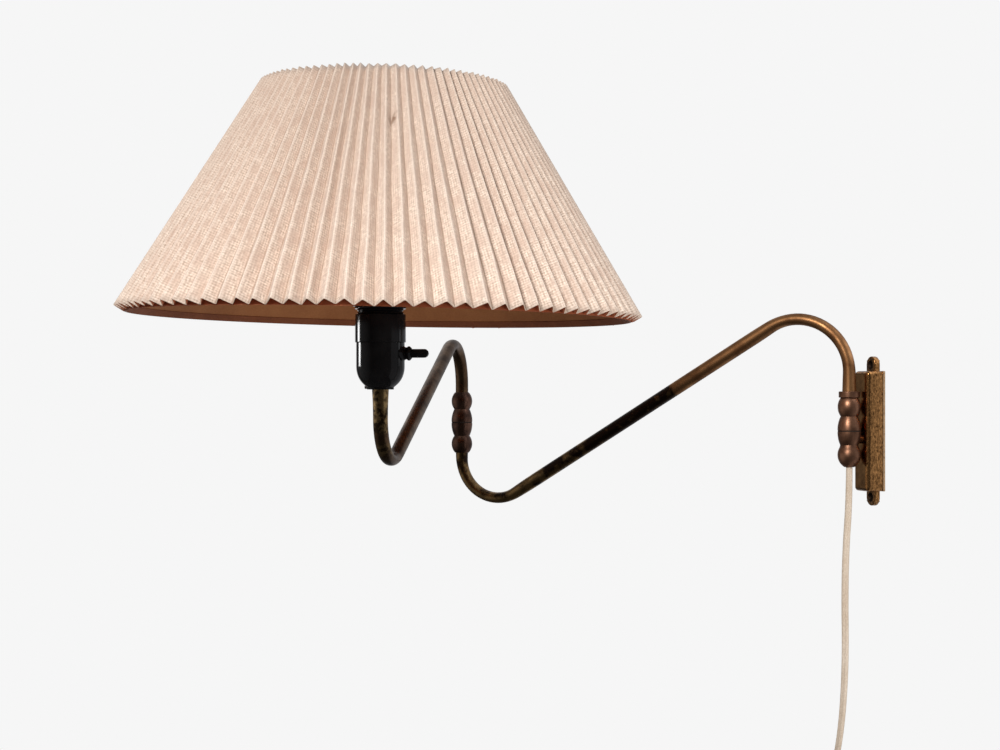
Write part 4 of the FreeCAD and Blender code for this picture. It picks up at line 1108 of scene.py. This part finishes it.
# Set
def camera():
    lens = bpy.data.cameras.new("camera")
    lens.sensor_width = SENSOR
    lens.lens = FOCAL_PIXELS / PHOTO_WIDTH * SENSOR
    lens.shift_y = (HORIZON_ROW - PHOTO_HEIGHT / 2) / PHOTO_WIDTH
    scene.camera = aimed("camera", lens, CAMERA_AT, -TO_CAMERA)


def softbox(name, target, forward, right, up, width, height, power):
    """Area light that faces a target from distances toward the camera, to its right and up."""
    lamp = bpy.data.lights.new(name, "AREA")
    lamp.shape = "RECTANGLE"
    lamp.size = width
    lamp.size_y = height
    lamp.energy = power
    offset = TO_CAMERA * forward + TO_RIGHT * right + UP * up
    return aimed(name, lamp, target + offset, -offset)


def lights():
    """A key from the upper left, a bounce from the lower right and a card that only glints."""
    softbox("key", LIT_POINT, forward=1.65, right=-0.66, up=0.87, width=0.6, height=0.6, power=31.6)
    bounce = softbox("bounce", LIT_POINT, forward=0.8, right=1.2, up=-0.42, width=0.8, height=0.3,
                     power=6.5)
    bounce.visible_glossy = False
    card = softbox("card", GLINT_POINT, forward=-0.19, right=-0.46, up=0.0,
                   width=0.16, height=0.09, power=0.025)
    card.data.spread = radians(24)
    card.visible_diffuse = False


def surroundings():
    """Pale studio: reflections find an even background behind the lamp and a dim room in front."""
    world = bpy.data.worlds.new("studio")
    world.use_nodes = True
    scene.world = world
    tree = world.node_tree
    rays = node(tree, "LightPath").outputs
    way = node(tree, "TexCoord").outputs["Generated"]

    def toward(direction, *limits):
        facing = node(tree, "VectorMath", operation="DOT_PRODUCT", Vector=way)
        facing.inputs[1].default_value = direction
        return ranged(facing.outputs["Value"], *limits)

    behind = toward(-TO_CAMERA, 0.84, 0.97, 0.05, 0.9)
    above = toward(UP * 0.6 - TO_CAMERA * 0.8, 0.72, 0.95, 0.0, 0.9)
    overhead = toward(UP, 0.35, 0.85, 0.0, 0.35)
    mirrored = toward(-TO_RIGHT, 0.62, 1.0, 0.0, 0.45)
    for bright in (behind, above, overhead):
        mirrored = math_node("MAXIMUM", mirrored, bright)
    lit = toward(Vector((0, 1, 0)), -0.8, 0.8, 0.22, 0.5)
    bounced = math_node("MAXIMUM", rays["Is Glossy Ray"], rays["Is Transmission Ray"])
    around = mixed(bounced, lit, mirrored)
    seen = mixed(rays["Is Camera Ray"], around, rgb(0.922, 0.922, 0.922))
    join(seen, tree.nodes["Background"].inputs["Color"])


def wall():
    """Pale wall behind the bracket that only reflections show."""
    bm = bmesh.new()
    bmesh.ops.create_grid(bm, size=0.5, matrix=Matrix.Translation(WALL_MIDDLE)
                          @ Matrix.Rotation(QUARTER, 4, "X") @ Matrix.Diagonal((*WALL_SIZE, 1.0, 1.0)))
    plane = put("wall", mesh_from(bm, "wall"))
    made, tree, surface = blank_material("pale_wall", Base_Color=rgb(0, 0, 0), Specular_IOR_Level=0.0,
                                         Emission_Color=rgb(0.93, 0.95, 1.0))
    place = node(tree, "SeparateXYZ", Vector=object_place(tree))
    across = place.outputs["X"]

    # Brightness across the wall, with a brighter patch above the bracket
    shaded = plus(ranged(across, 30 * MM, 70 * MM, 0.7, 0.2),
                  ranged(across, 90 * MM, 150 * MM, 0.0, 0.3))
    beyond = ranged(across, 0.0, 20 * MM, -0.2, 0.0)
    from_patch = math_node("ABSOLUTE", minus(across, 30 * MM))
    patch = times(ranged(from_patch, 20 * MM, 50 * MM, 1.2, 0.0),
                  ranged(place.outputs["Z"], 58 * MM, 74 * MM))
    strength = plus(plus(shaded, beyond), patch)
    join(strength, surface.inputs["Emission Strength"])
    plane.data.materials.append(made)
    plane.visible_camera = plane.visible_diffuse = plane.visible_shadow = False


def floor():
    """Pale disc below the lamp that fades out toward its edge and isn't seen from below."""
    bm = bmesh.new()
    bmesh.ops.create_circle(bm, cap_ends=True, segments=FLOOR_SIDES, radius=FLOOR_RADIUS,
                            matrix=Matrix.Translation(FLOOR_MIDDLE))
    plate = put("floor", mesh_from(bm, "floor"))
    made, tree, surface = blank_material("pale_floor", Roughness=0.9, Base_Color=rgb(0.86, 0.86, 0.86))
    plate.data.materials.append(made)
    from_middle = node(tree, "VectorMath", operation="DISTANCE", Vector=object_place(tree))
    from_middle.inputs[1].default_value = FLOOR_MIDDLE
    upper_side = minus(1.0, node(tree, "NewGeometry").outputs["Backfacing"])
    graded = ranged(from_middle.outputs["Value"], *FLOOR_FADE, 1.0, 0.0)
    join(times(upper_side, graded), surface.inputs["Alpha"])
    plate.visible_glossy = False


scene.view_settings.view_transform = "Standard"
camera()
lights()
surroundings()
floor()
wall()
finish_cad_nodes()
cord()
bracket()
joints_and_arms()
lampholder()
shade_inside()
pleated_shade()
